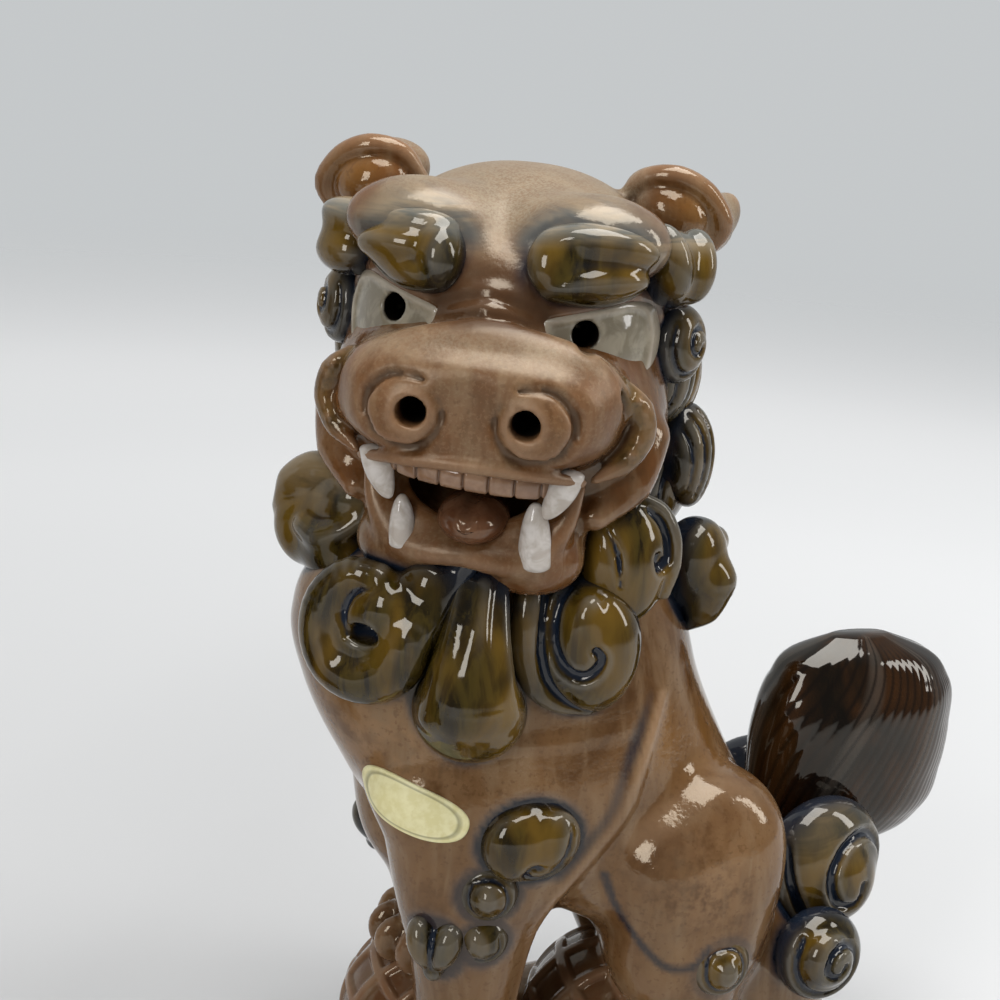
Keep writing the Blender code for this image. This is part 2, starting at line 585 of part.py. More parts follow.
def build_label(dog):
    """A blank stuck-on label that follows the skin of the planted foreleg."""
    skin = dog.cores["foreleg_left"][0]
    outline = drum((LABEL_AT[0], -LEG_Y - 43.0, LABEL_AT[1]), (LABEL_AT[0], -LEG_Y + 7.0, LABEL_AT[1]),
                   1.0, segs=16)
    spin = Matrix.Rotation(math.radians(-LABEL_TILT), 4, "Y")
    centre = Matrix.Translation((LABEL_AT[0], 0.0, LABEL_AT[1]))
    size = Matrix.Diagonal((LABEL_R[0], 1.0, LABEL_R[1], 1.0))
    outline.transform(centre @ spin @ size @ centre.inverted())
    dog.add("label", outline, "paper", keep=grown(skin, SEAM_GAP + LABEL_THICK),
            clear=("foreleg_left", "torso"))


build_dog("open", 1.0, True)
build_dog("shut", -1.0, False)
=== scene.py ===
"""Looks of the pair of glazed ceramic guardian lion-dogs.

Lengths are in millimetres in each dog's own frame, until make_piece() turns them into metres: the
floor is z = 0, the body looks along -X and its own left side is -Y.  The head has a frame of its
own: u across the face, v out of it, w up.  The second dog is the first one mirrored, with a shut
mouth.
"""
import json
import math

import bpy
import numpy as np
import openvdb
from mathutils import Euler, Matrix, Vector


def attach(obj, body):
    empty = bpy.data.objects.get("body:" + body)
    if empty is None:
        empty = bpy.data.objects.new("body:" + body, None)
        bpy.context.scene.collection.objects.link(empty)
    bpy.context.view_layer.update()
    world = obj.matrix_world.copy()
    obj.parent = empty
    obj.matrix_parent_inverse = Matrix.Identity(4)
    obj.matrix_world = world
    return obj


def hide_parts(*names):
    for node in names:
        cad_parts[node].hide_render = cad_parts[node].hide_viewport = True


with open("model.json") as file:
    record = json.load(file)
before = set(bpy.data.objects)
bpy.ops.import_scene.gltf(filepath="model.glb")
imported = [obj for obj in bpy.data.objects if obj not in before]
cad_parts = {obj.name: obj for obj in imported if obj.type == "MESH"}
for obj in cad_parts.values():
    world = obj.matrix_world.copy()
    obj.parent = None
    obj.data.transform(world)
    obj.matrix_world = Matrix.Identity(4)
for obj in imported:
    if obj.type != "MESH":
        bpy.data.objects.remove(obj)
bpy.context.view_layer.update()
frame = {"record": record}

bl_info = {
    "name": "Glazed guardian lion-dogs",
    "version": (1, 0, 0),
    "blender": (4, 5, 0),
    "location": "3D View > Sidebar > Lion-dogs",
    "description": "Makes the glazed skins, curls, faces and balls of a pair of ceramic lion-dogs",
    "category": "Object",
}

MM = 0.001
FAR = 12.0                # distances are not followed further than this from the clay

# where the dogs stand, from the sole that the record gives
SOLE_IN_DOG = (-26.0, -17.0, 0.0)
SOLE = {mount["name"]: mount["pos_m"] for mount in frame["record"]["mounts"]}["open_dog_sole"]
DOG_OFFSET = SOLE[0] / MM - SOLE_IN_DOG[0]
DOG_SETBACK = SOLE[1] / MM - SOLE_IN_DOG[1]
DOGS = (("open", 1.0, "open_mouth_dog"), ("shut", -1.0, "shut_mouth_dog"))

# trunk, as heights with the front line, the back line and the half width there
TRUNK_Z = (-6.0, 6.0, 14.0, 34.0, 48.0, 60.0, 71.0, 85.0, 100.0, 115.0, 128.0, 139.0, 147.0, 153.0)
TRUNK_FRONT = (33.5, 32.0, 30.0, 28.0, 19.4, 5.3, -17.0, -37.5, -47.8, -54.6, -57.0, -52.5, -41.0, -23.0)
TRUNK_BACK = (66.5, 69.0, 70.0, 69.6, 66.0, 61.0, 55.0, 46.4, 37.8, 30.6, 26.4, 20.6, 13.6, 3.0)
TRUNK_HALF = (21.0, 23.5, 25.5, 28.0, 29.0, 29.5, 29.5, 29.5, 29.5, 28.5, 26.0, 23.0, 18.0, 9.0)

# forelegs, as heights with the middle, the half length and the half width there
LEG_Y = 17.0
PLANTED_Z = (-6.0, 2.5, 10.0, 20.0, 30.0, 43.0, 56.0, 68.0, 84.0, 99.0, 108.0)
PLANTED_X = (-26.0, -26.0, -25.5, -22.5, -20.5, -21.0, -21.0, -21.0, -16.0, -14.0, -13.0)
PLANTED_A = (17.0, 18.4, 18.2, 13.2, 10.2, 10.2, 11.8, 15.0, 23.6, 29.0, 22.0)
PLANTED_B = (12.4, 13.6, 13.4, 12.2, 10.8, 11.2, 12.4, 14.2, 15.0, 14.0, 10.5)
RAISED_Z = (34.0, 41.2, 50.0, 59.0, 68.0, 84.0, 99.0, 108.0)
RAISED_X = (-15.0, -16.0, -16.8, -18.4, -21.0, -16.0, -14.0, -13.0)
RAISED_A = (9.0, 11.0, 11.0, 12.2, 15.0, 23.6, 29.0, 22.0)
RAISED_B = (10.0, 12.1, 12.0, 12.6, 14.2, 15.0, 14.0, 10.5)
LEG_RIDGE = ((15.0, -22.0, 116.0), (12.3, -25.6, 109.5), (8.8, -27.8, 101.2), (5.7, -29.0, 93.5),
             (1.1, -29.6, 87.7), (-3.8, -29.6, 81.6), (-8.4, -28.4, 74.0), (-11.0, -26.8, 66.8),
             (-12.2, -24.6, 57.0), (-12.6, -22.6, 46.0), (-12.4, -21.0, 34.0))
# the crest of each thigh, along which a tan line is painted as a highlight
THIGH_RIDGE = ((33.0, -30.0, 92.0), (29.0, -29.5, 98.5), (22.0, -30.5, 97.0), (9.0, -32.0, 88.0))
THIGH_CREASE = ((3.1, -34.0, 80.1), (6.0, -34.0, 73.0), (10.6, -34.0, 66.0),
                (17.2, -34.0, 60.7), (22.3, -34.0, 61.5), (24.6, -34.0, 65.0))
LEG_RIDGE_R = (0.4, 1.1, 1.3, 1.3, 1.2, 1.0, 0.7)
BODY_CORNERS = ((-66.0, -48.0, -4.0), (78.0, 48.0, 160.0))
PLANTED_PAW = (0.0, -1.6)            # how high and how far back the toes of a forepaw lie
RAISED_PAW = (36.0, 12.0)
TOES = (-8.6, -3.0, 3.0, 8.6)
FORE_TOE_X = -41.0
FORE_TOE = (4.6, 3.1, 6.0)
HIND_TOE_X = 0.6
HIND_TOE = (7.0, 3.1, 5.6)
GROIN = ((16.0, -29.0, 77.0), (8.6, 7.6, 12.0))
THIGH = ((26.6, -22.5, 70.5), (18.0, 15.2, 28.0), (0.0, 10.0, 0.0))
SHIN = ((20.0, -25.0, 60.0), (39.0, -28.0, 17.0))
SHIN_R = 10.5
HIND_FOOT = ((20.0, -31.0, 7.0), (22.0, 11.5, 10.0))

# head, in its own frame
HEAD_AT = (-14.4, 4.0, 177.0)
HEAD_TURN = 26.0
HEAD_ROLL = 1.5
CRANIUM = ((0.0, -6.0, 8.5), (32.5, 34.5, 33.0))
SNOUT = ((0.0, 23.5, 0.5), (26.6, 21.0, 12.0))
CHEEK = ((18.5, 9.0, -7.0), (15.5, 20.0, 17.0))
JAW = ((0.0, 13.2, -21.5), (23.5, 22.8, 14.3))
SHUT_JAW_RISE = 4.5
MOUTH = ((0.0, 31.0, -19.0), (14.6, 15.0, 6.4))
NOSTRIL_AT = (10.5, 45.0, -0.6)
NOSTRIL_R = 2.75
PUPIL_R = 2.55
PUPILS = {1.0: (17.2, 13.7), -1.0: (19.0, 14.6)}
CHIN_LINE = ((-27.0, 20.0, -17.0), (-23.5, 24.5, -24.5), (-19.0, 28.0, -30.5), (-13.0, 30.6, -34.0),
             (-5.0, 31.2, -33.2), (1.0, 31.0, -34.0), (8.0, 30.4, -36.6), (14.0, 28.6, -37.0),
             (21.0, 24.0, -33.5), (26.5, 18.5, -25.5), (29.0, 13.0, -17.0))
SKULL_POWER = 2.25
HEAD_CORNERS = ((-50.0, -44.0, -44.0), (50.0, 50.0, 48.0))
BRIDGE = ((0.0, 16.0, 17.0), (11.5, 13.0, 12.0))
BRIDGE_FOLDS = ((11.0, 28.6, 20.0), (9.5, 31.0, 17.0))
BROW_SHELF = ((16.5, 16.4, 30.0), (14.5, 9.8, 8.6))
CHIN_HALF = ((11.5, 27.5, -29.0), (10.5, 8.5, 7.5))
CHIN_DENT = ((0.0, 38.0, -42.0), (5.0, 8.0, 7.0))
SNOUT_FLAT = 44.4
SNOUT_DENT = ((0.0, 48.2, -1.0), (6.5, 4.2, 8.0))
NOSTRIL_MOUND = ((11.8, 41.6, -0.8), (7.0, 3.4, 6.4))
SNOUT_BOW = (0.0045, 0.006)
NOSTRIL_CREASE = ((12.0, -0.6), (7.3, 6.9))
WHISKER_DOTS = 6

# ropes of the head, as path, radii, fillet and number of bits
GUM = (((-15.5, 29.0, -17.0), (-11.5, 31.4, -22.0), (0.0, 33.0, -25.5), (11.5, 31.4, -22.0),
        (15.5, 29.0, -17.0)), (2.4, 3.0, 3.0, 3.0, 2.4), 2.0, 21)
LOWER_LIP = (((-19.5, 30.5, -13.5), (-17.6, 32.2, -21.0), (-12.5, 34.4, -27.0), (0.0, 36.8, -27.6),
              (12.5, 34.4, -27.6), (17.6, 32.2, -21.5), (19.5, 30.5, -13.5)),
             (1.6, 2.4, 2.7, 2.3, 2.7, 2.4, 1.6), 2.4, 25)
SHUT_SEAM = (((-24.0, 27.0, -11.0), (-17.0, 35.5, -15.0), (-8.0, 39.0, -12.6), (0.0, 40.0, -12.0),
              (8.0, 39.0, -12.6), (17.0, 35.5, -15.0), (24.0, 27.0, -11.0)),
             (0.8, 1.2, 1.2, 1.2, 0.8), 1.0, 25)
SNOUT_ROLL = (((-24.0, 29.0, -3.0), (-20.5, 32.0, 3.0), (-11.0, 34.2, 9.4), (0.0, 34.8, 12.0),
               (10.0, 34.4, 11.2), (20.0, 32.8, 8.0), (24.5, 29.5, 2.8)), (3.0, 3.5, 4.0, 3.6, 3.0), 4.0, 25)
UPPER_LIP = (((-20.5, 35.0, -11.5), (-13.0, 40.6, -9.8), (0.0, 42.8, -9.2), (13.0, 40.6, -9.8),
              (20.5, 35.0, -11.5)), (1.0, 1.3, 1.3, 1.3, 1.0), 1.4, 21)
CHEEK_PAD = (((25.6, 28.4, 6.6), (28.8, 27.4, 2.8), (30.0, 26.4, -2.0), (28.0, 27.6, -7.6),
              (22.5, 31.5, -11.6)), (0.8, 2.3, 2.7, 2.2, 0.8), 1.4, 17)
CHEEK_FOLD = (((24.2, 33.0, 6.4), (27.2, 31.8, 1.8), (27.2, 31.8, -3.6), (24.0, 35.0, -9.0)),
              (0.6, 1.0, 1.0, 0.6), 1.0, 13)
JOWL = (((31.5, 16.0, -6.0), (29.0, 20.5, -14.0), (23.5, 26.5, -20.0)), (3.0, 4.0, 2.4), 4.0, 9)
EAR_RIM = (((21.5, -9.5, 36.0), (25.5, -8.0, 40.4), (32.0, -7.2, 41.4), (38.5, -8.4, 38.2),
            (42.0, -10.0, 32.0), (40.0, -10.4, 28.0)), (1.4, 2.2, 2.5, 2.5, 2.2, 1.2), 1.6, 21)

EYE_OUTLINE = ((8.4, 16.4), (13.5, 17.8), (19.0, 19.2), (25.0, 20.6), (28.8, 18.8), (30.6, 13.0),
               (29.8, 5.0), (25.0, 0.8), (17.5, 2.6), (11.4, 8.8))
EYE_RIM_R = (0.9, 1.3, 1.3, 1.0, 0.6, 0.6, 0.6, 0.6, 0.7, 0.9)
EAR = ((32.2, -15.0, 35.4), (11.4, 8.0, 7.2))
EAR_ROOT = ((38.0, -15.5, 31.5), (5.6, 7.0, 5.4))
EAR_LOBE = ((41.4, -20.0, 34.0), (3.6, 4.4, 4.8))
EAR_HOLLOW = ((31.5, -6.0, 34.0), (7.8, 4.6, 4.8))
EAR_PAD = ((31.4, -8.9, 34.2), (7.8, 5.8, 6.2))
EAR_LEAN = 18.0
EAR_SHIFT = {1.0: -2.6, -1.0: 0.9}

# the blank label on the planted foreleg
LABEL_AT = (-38.0, -26.0, 96.5)
LABEL_WAY = (-0.56, -0.83, 0.0)
LABEL_TILT = -14.0


def turned(angles):
    """Rotation matrix of three angles in degrees about X, Y and Z."""
    return np.array(Euler([math.radians(a) for a in angles]).to_matrix())


def head_axes():
    """Matrix whose columns are the face's u, v and w directions in the dog's frame."""
    c, s = math.cos(math.radians(HEAD_TURN)), math.sin(math.radians(HEAD_TURN))
    face = np.array(((c, -s, 0.0), (-s, -c, 0.0), (0.0, 0.0, 1.0)))
    return face @ np.array(Matrix.Rotation(math.radians(HEAD_ROLL), 3, "Y"))


HEAD_AXES = head_axes()


def from_head(points):
    """Points of the head's frame in the dog's frame."""
    return np.asarray(points, float) @ HEAD_AXES.T + np.array(HEAD_AT)


def to_head(points):
    """Points of the dog's frame in the head's frame."""
    return (np.asarray(points, float) - np.array(HEAD_AT)) @ HEAD_AXES


def on_side(point, side, axis):
    """The point, with its coordinate on that axis times side: 1 keeps it, -1 mirrors it."""
    return tuple(side * c if i == axis else c for i, c in enumerate(point))


def ramp(x, low, high):
    """0 below low, 1 above high, with a smooth S between: t * t * (3 - 2t)."""
    t = np.clip((x - low) / (high - low), 0.0, 1.0)
    return t * t * (3.0 - 2.0 * t)


def through(t, knots, values):
    """A smooth curve through values at knots: cubic pieces whose slopes are those of the neighbours."""
    knots, values = np.asarray(knots, float), np.asarray(values, float)
    slopes = np.gradient(values, knots, axis=0)
    i = np.clip(np.searchsorted(knots, t) - 1, 0, len(knots) - 2)
    step = knots[i + 1] - knots[i]
    s = np.clip((t - knots[i]) / step, 0.0, 1.0)
    if values.ndim > 1:
        s, step = s[..., None], step[..., None]
    rise = (2 * s ** 3 - 3 * s ** 2 + 1) * values[i] + (3 * s ** 2 - 2 * s ** 3) * values[i + 1]
    return rise + step * ((s ** 3 - 2 * s ** 2 + s) * slopes[i] + (s ** 3 - s ** 2) * slopes[i + 1])


def path(points, count):
    """Points evenly spread along a smooth curve through the given ones."""
    points = np.asarray(points, float)
    gaps = np.linalg.norm(np.diff(points, axis=0), axis=1)
    knots = np.concatenate(([0.0], np.cumsum(gaps)))
    return through(np.linspace(0.0, knots[-1], count), knots, points)


# Distances to simple forms: each takes coordinate arrays and gives millimetres, negative inside.

def ball(x, y, z, centre, radii, turn=(0.0, 0.0, 0.0), power=2.0):
    """Rounded box or egg: the power mean g of the coordinates over the radii, as (g - 1) / |slope of g|."""
    spin = turned(turn)
    offset = [x - centre[0], y - centre[1], z - centre[2]]
    total, slopes = 0.0, []
    for i in range(3):
        reach = sum(offset[j] * spin[j, i] for j in range(3))
        part = np.abs(reach) / radii[i] + 1e-6
        total = total + part ** power
        slopes.append(part ** (power - 1.0) / radii[i])
    g = total ** (1.0 / power)
    slope = np.sqrt(sum(s * s for s in slopes)) / g ** (power - 1.0)
    return (g - 1.0) / slope


def strand(x, y, z, points, radii):
    """A rope of clay: the least distance to each straight bit of the path, less the radius there."""
    best = None
    for a, b, ra, rb in zip(points[:-1], points[1:], radii[:-1], radii[1:]):
        ab = [b[i] - a[i] for i in range(3)]
        length = sum(c * c for c in ab)
        px, py, pz = x - a[0], y - a[1], z - a[2]
        h = np.clip((px * ab[0] + py * ab[1] + pz * ab[2]) / length, 0.0, 1.0)
        away = np.sqrt((px - h * ab[0]) ** 2 + (py - h * ab[1]) ** 2 + (pz - h * ab[2]) ** 2)
        d = away - (ra + (rb - ra) * h)
        best = d if best is None else np.minimum(best, d)
    return best


def soft_min(a, b, k):
    """The lower of two distances, less (k - gap) squared over 4k where they come closer than k."""
    gap = np.maximum(k - np.abs(a - b), 0.0)
    return np.minimum(a, b) - gap * gap / (4.0 * k)


SOFTENINGS = 3            # of the bend before it is read


def beside(f):
    """The six neighbours of each inner value of a grid, as six grids."""
    return (f[2:, 1:-1, 1:-1], f[:-2, 1:-1, 1:-1], f[1:-1, 2:, 1:-1], f[1:-1, :-2, 1:-1],
            f[1:-1, 1:-1, 2:], f[1:-1, 1:-1, :-2])


class Clay:
    """A lump of clay: signed distances in millimetres on a regular grid, negative inside."""

    def __init__(self, low, high, cell):
        self.low = np.array(low, float)
        self.cell = cell
        counts = np.ceil((np.array(high, float) - self.low) / cell).astype(int) + 1
        self.field = np.full(counts, FAR, np.float32)
        self.axes = [(self.low[i] + cell * np.arange(counts[i])).astype(np.float32) for i in range(3)]

    def window(self, low, high):
        """Slices of the grid between two corners, and their coordinates as open arrays."""
        cuts = []
        for i in range(3):
            first = int(np.clip((low[i] - self.low[i]) / self.cell, 0, self.field.shape[i] - 1))
            last = int(np.clip((high[i] - self.low[i]) / self.cell + 2, first + 1, self.field.shape[i]))
            cuts.append(slice(first, last))
        x, y, z = (self.axes[i][cuts[i]] for i in range(3))
        return tuple(cuts), (x[:, None, None], y[None, :, None], z[None, None, :])

    def merge(self, distance, low, high, k, carve=False):
        """Adds a form between two corners with a fillet of about k, or takes it away."""
        cuts, coords = self.window(np.array(low) - k - 2.0, np.array(high) + k + 2.0)
        here = self.field[cuts]
        form = distance(*coords)
        made = -soft_min(-here, form, k) if carve else soft_min(here, form, k)
        self.field[cuts] = np.clip(made, -FAR, FAR)

    def ball(self, form, k, turn=(0.0, 0.0, 0.0), power=2.0, carve=False):
        """Adds or takes away an egg given as (centre, radii)."""
        centre, radii = form
        reach = np.full(3, max(radii)) if any(turn) else np.array(radii)
        self.merge(lambda x, y, z: ball(x, y, z, centre, radii, turn, power),
                   np.array(centre) - reach, np.array(centre) + reach, k, carve)

    def rope(self, points, radii, k, count=12, carve=False):
        """Adds or takes away a rope along a smooth path, its radii spread along it."""
        line = path(points, count)
        sizes = np.interp(np.linspace(0.0, 1.0, count), np.linspace(0.0, 1.0, len(radii)), radii)
        edge = max(radii)
        self.merge(lambda x, y, z: strand(x, y, z, line, sizes),
                   line.min(axis=0) - edge, line.max(axis=0) + edge, k, carve)

    def stack(self, heights, middle, half_x, half_y, y0, k, power=2.2):
        """Adds ovals stacked by height: (g - 1) over its own slope, g the power mean in each oval."""
        low = (min(m - a for m, a in zip(middle, half_x)), y0 - max(half_y), heights[0])
        high = (max(m + a for m, a in zip(middle, half_x)), y0 + max(half_y), heights[-1])

        def oval(x, y, z):
            a, b = through(z, heights, half_x), through(z, heights, half_y)
            across = np.abs(x - through(z, heights, middle)) / a
            g = (across ** power + (np.abs(y - y0) / b) ** power) ** (1.0 / power) - 1.0
            slope = np.sqrt(sum(np.square(s) for s in np.gradient(g, self.cell))) + 1e-4
            side = g / np.maximum(slope, 0.02)
            ends = np.maximum(heights[0] - z, z - heights[-1])
            return -soft_min(-side, -ends, 4.0) if heights[0] > 0.0 else np.maximum(side, ends)

        self.merge(oval, low, high, k)

    def reach_at(self, axis, *place):
        """How far out along an axis the clay reaches, over a place on the other two axes."""
        cut = [slice(None)] * 3
        for i, value in zip([i for i in range(3) if i != axis], place):
            cut[i] = int(np.clip(round((value - self.low[i]) / self.cell), 0, self.field.shape[i] - 1))
        inside = np.nonzero(self.field[tuple(cut)] < 0.0)[0]
        return float(self.axes[axis][inside[-1]]) if len(inside) else 0.0

    def skin(self):
        """Vertices and four-cornered faces of the surface where the distance is nought."""
        grid = openvdb.FloatGrid(background=FAR)
        grid.copyFromArray(np.ascontiguousarray(self.field))
        points, quads = grid.convertToQuads(0.0)
        return points.astype(float) * self.cell + self.low, quads.astype(int)

    def sample(self, values, points):
        """Values of a grid at points between its nodes, mixed from the eight nearest."""
        p = (points - self.low) / self.cell
        base = np.clip(np.floor(p).astype(int), 0, np.array(values.shape) - 2)
        f = p - base
        total = 0.0
        for dx in (0, 1):
            for dy in (0, 1):
                for dz in (0, 1):
                    share = (np.abs(1 - dx - f[:, 0]) * np.abs(1 - dy - f[:, 1]) * np.abs(1 - dz - f[:, 2]))
                    total = total + share * values[base[:, 0] + dx, base[:, 1] + dy, base[:, 2] + dz]
        return total

    def bend(self, points):
        """How sharply the surface bends at points, in 1/mm: above 0 on ridges, below 0 in grooves.

        It is the sum of the six neighbours less six times the value, over the cell squared, and is
        softened by means of each value, counted twice, and its six neighbours.
        """
        inner = (slice(1, -1),) * 3
        first, *others = beside(self.field)
        bend = np.zeros_like(self.field)
        bend[inner] = (sum(others, first) - 6.0 * self.field[inner]) / self.cell ** 2
        for _ in range(SOFTENINGS):
            bend[inner] = sum(beside(bend), bend[inner] * 2.0) / 8.0
        return self.sample(bend, points)


# The curls.  Places in the dog's frame, or in the head's where in_head is set; the rest is fractions.

CHIN_TUFT = dict(
    at=(-27.5, -28.4, 122.4), size=(11.8, 15.4, 8.6), facing=(-0.41, -0.91, 0.0), base=0.60, k=1.8,
    lumps=(((0.0, -0.28, 0.06), (0.95, 0.68, 0.96), 0.0),),
    ropes=(
        (((0.0, 1.34), (-0.04, 0.9), (-0.04, 0.35), (0.0, -0.10)), -0.46, (0.40, 0.44, 0.60, 0.76)),
        (((-0.20, 1.34), (-0.24, 0.8), (-0.36, 0.25), (-0.50, -0.25)), -0.06, (0.18, 0.20, 0.24, 0.24)),
        (((0.10, 1.34), (0.10, 0.8), (0.08, 0.2), (0.04, -0.15)), 0.08, (0.14, 0.18, 0.22, 0.24)),
        (((0.36, 1.28), (0.42, 0.8), (0.52, 0.25), (0.60, -0.2)), -0.16, (0.14, 0.18, 0.22, 0.22)),
    ))
CHIN_CURL_LEFT = dict(
    at=(-5.6, -26.5, 130.0), size=(13.5, 14.5, 9.0), facing=(-0.30, -0.95, -0.05), k=1.4, base=0.90,
    lumps=(((0.18, -0.06, 0.12), (0.70, 0.92, 0.84), 0.0), ((0.04, 0.36, 0.58), (0.27, 0.46, 0.36), -10.0)),
    ropes=((((-0.72, 0.95), (-0.78, 0.4), (-0.76, -0.15), (-0.58, -0.60), (-0.20, -0.86), (0.20, -0.90)),
            -0.12, (0.20, 0.24, 0.24, 0.20, 0.14, 0.06)),),
    grooves=(
        (((-0.16, 0.86), (-0.34, 0.66), (-0.42, 0.34), (-0.36, 0.02), (-0.20, -0.20), (0.04, -0.28),
          (0.24, -0.16), (0.30, 0.04), (0.22, 0.12)), (0.7, 1.1, 1.4, 1.5, 1.5, 1.4, 1.2, 0.9)),
        (((-0.52, 0.95), (-0.56, 0.35), (-0.52, -0.12), (-0.36, -0.52), (-0.04, -0.80), (0.3, -0.90)),
         (0.9, 1.1, 1.0, 0.8, 0.4)),
    ))
CHIN_CURL_RIGHT = dict(
    at=(-44.5, -18.0, 132.0), size=(13.6, 14.0, 9.4), facing=(-0.64, -0.77, 0.0), k=2.2, base=0.86,
    ropes=((((1.30, 1.12), (1.02, 0.66), (0.70, 0.06), (0.46, -0.44), (0.04, -0.66), (-0.42, -0.56),
             (-0.66, -0.12), (-0.60, 0.38), (-0.26, 0.74), (0.14, 0.78)), -0.26,
            (0.18, 0.26, 0.34, 0.38, 0.40, 0.40, 0.38, 0.34, 0.28, 0.20)),),
    lumps=(((0.26, 0.36, 0.34), (0.46, 0.44, 0.52), 12.0), ((0.76, 0.66, -0.04), (0.44, 0.40, 0.46), 40.0)),
    grooves=((((-0.16, -0.02), (-0.24, 0.30), (-0.12, 0.56), (0.14, 0.70)), (0.7, 0.8, 0.6, 0.2)),),
    pits=(((0.08, 0.04), (0.24, 0.16), 0.55),))
NECK_CURL_LEFT = dict(
    at=(3.6, -23.4, 146.0), size=(10.2, 14.0, 8.4), facing=(0.02, -1.0, 0.1), k=1.4,
    lumps=(((-0.10, 0.0, 0.22), (0.84, 0.94, 0.76), 0.0),),
    ropes=((((0.15, 0.90), (0.55, 0.72), (0.80, 0.38), (0.86, -0.05), (0.74, -0.50)), -0.05,
            (0.10, 0.16, 0.18, 0.16, 0.10)),),
    grooves=(
        (((0.26, 0.72), (0.50, 0.56), (0.66, 0.26), (0.66, 0.02), (0.50, -0.06), (0.44, 0.06)),
         (0.6, 0.9, 1.1, 1.3, 1.4)),
        (((-0.62, 0.50), (-0.42, 0.10), (-0.36, -0.30)), (0.2, 0.6, 0.2)),
    ))
NECK_CURL_RIGHT = dict(
    at=(-46.0, 6.0, 147.6), size=(14.6, 15.0, 12.2), facing=(-0.85, -0.52, 0.1), k=2.6, base=0.84, crown=0.45,
    lumps=(((-0.46, -0.26, 0.20), (0.50, 0.60, 0.66), 16.0), ((0.20, -0.46, 0.34), (0.60, 0.44, 0.52), 0.0),
           ((0.40, 0.30, 0.26), (0.54, 0.46, 0.58), 10.0), ((-0.24, 0.44, 0.24), (0.46, 0.34, 0.50), 38.0)),
    ropes=((((-0.86, -0.06), (-0.60, 0.36), (-0.22, 0.62), (0.30, 0.74)), 0.02, (0.10, 0.18, 0.18, 0.12)),
           (((-0.10, -0.16), (0.24, -0.24), (0.56, -0.10), (0.80, 0.10)), 0.04, (0.10, 0.16, 0.14, 0.08))))
BROW_LEFT = dict(
    in_head=True, at=(16.8, 22.2, 26.3), size=(12.6, 9.0, 8.0), facing=(0.28, 0.9, 0.36), base=0.84, k=1.9,
    crown=1.0, line=0.35,
    lumps=(((0.12, 0.28, 0.30), (0.86, 0.46, 0.72), -6.0), ((0.04, -0.50, 0.18), (0.80, 0.36, 0.70), 8.0),
           ((-0.60, -0.04, 0.22), (0.38, 0.66, 0.52), -8.0)))
BROW_RIGHT = dict(
    in_head=True, at=(-15.8, 22.6, 25.6), size=(11.2, 8.6, 8.0), facing=(-0.3, 0.9, 0.34), base=0.84, k=1.8,
    crown=1.0, line=0.2,
    lumps=(((-0.10, 0.52, 0.14), (0.84, 0.34, 0.66), 2.0), ((-0.22, -0.06, 0.34), (0.74, 0.40, 0.66), 2.0),
           ((0.60, -0.14, 0.22), (0.36, 0.66, 0.66), 8.0), ((0.20, -0.58, 0.06), (0.56, 0.34, 0.60), -8.0)))
BROW_END_LEFT = dict(
    in_head=True, at=(31.6, 10.0, 25.8), size=(8.6, 9.2, 7.2), facing=(0.74, 0.62, 0.25), base=0.80, k=1.0,
    crown=0.8, line=0.5,
    lumps=(((-0.44, 0.14, 0.26), (0.40, 0.78, 0.70), 12.0), ((0.40, 0.02, 0.22), (0.42, 0.78, 0.70), -10.0)))
BROW_END_RIGHT = dict(
    in_head=True, at=(-31.4, 10.0, 25.0), size=(8.8, 9.0, 7.2), facing=(-0.74, 0.62, 0.25), base=0.82, k=1.4,
    crown=1.0, line=0.2,
    lumps=(((0.0, 0.36, 0.18), (0.86, 0.42, 0.74), -6.0), ((0.05, -0.36, 0.12), (0.80, 0.46, 0.70), 4.0)))
SPIRAL = (((-0.62, 0.55), (-0.80, 0.0), (-0.52, -0.56), (0.08, -0.68), (0.54, -0.34), (0.56, 0.18),
           (0.18, 0.46), (-0.20, 0.28), (-0.26, -0.06), (0.0, -0.20), (0.16, 0.0)),
          (0.6, 0.9, 1.0, 1.0, 1.0, 1.0))
RING = (((0.0, 0.66), (-0.50, 0.46), (-0.62, 0.0), (-0.42, -0.52), (0.0, -0.70), (0.46, -0.48), (0.62, 0.0),
         (0.44, 0.48), (0.0, 0.66)), (0.5, 0.5, 0.5))
TEMPLE = dict(
    in_head=True, at=(34.2, 3.5, 10.5), size=(7.2, 8.2, 5.6), facing=(0.86, 0.50, 0.05),
    lumps=(((0.0, 0.0, 0.4), (0.5, 0.5, 0.5), 0.0),), grooves=((SPIRAL[0], (0.4, 0.6, 0.7, 0.7, 0.7, 0.6)),))
SIDE_LOCKS = (
    dict(in_head=True, at=(31.0, -10.0, 2.0), size=(12.0, 12.5, 8.6), facing=(0.95, 0.20, 0.0), k=1.8,
         lumps=(((-0.30, 0.1, 0.24), (0.50, 0.80, 0.60), 0.0),
                ((0.36, -0.05, 0.22), (0.50, 0.80, 0.60), 0.0)),
         grooves=tuple((((x, 0.85), (x * 1.15 + 0.05, 0.2), (x * 0.9 - 0.1, -0.8)), (0.2, 0.6, 0.2))
                       for x in (-0.6, -0.3, 0.02, 0.34, 0.62))),
    dict(in_head=True, at=(32.0, -14.0, -22.0), size=(12.0, 13.0, 9.4), facing=(0.95, 0.15, -0.1), k=1.4,
         lumps=(((0.1, 0.2, 0.3), (0.7, 0.6, 0.6), 0.0),), grooves=(SPIRAL,)),
)
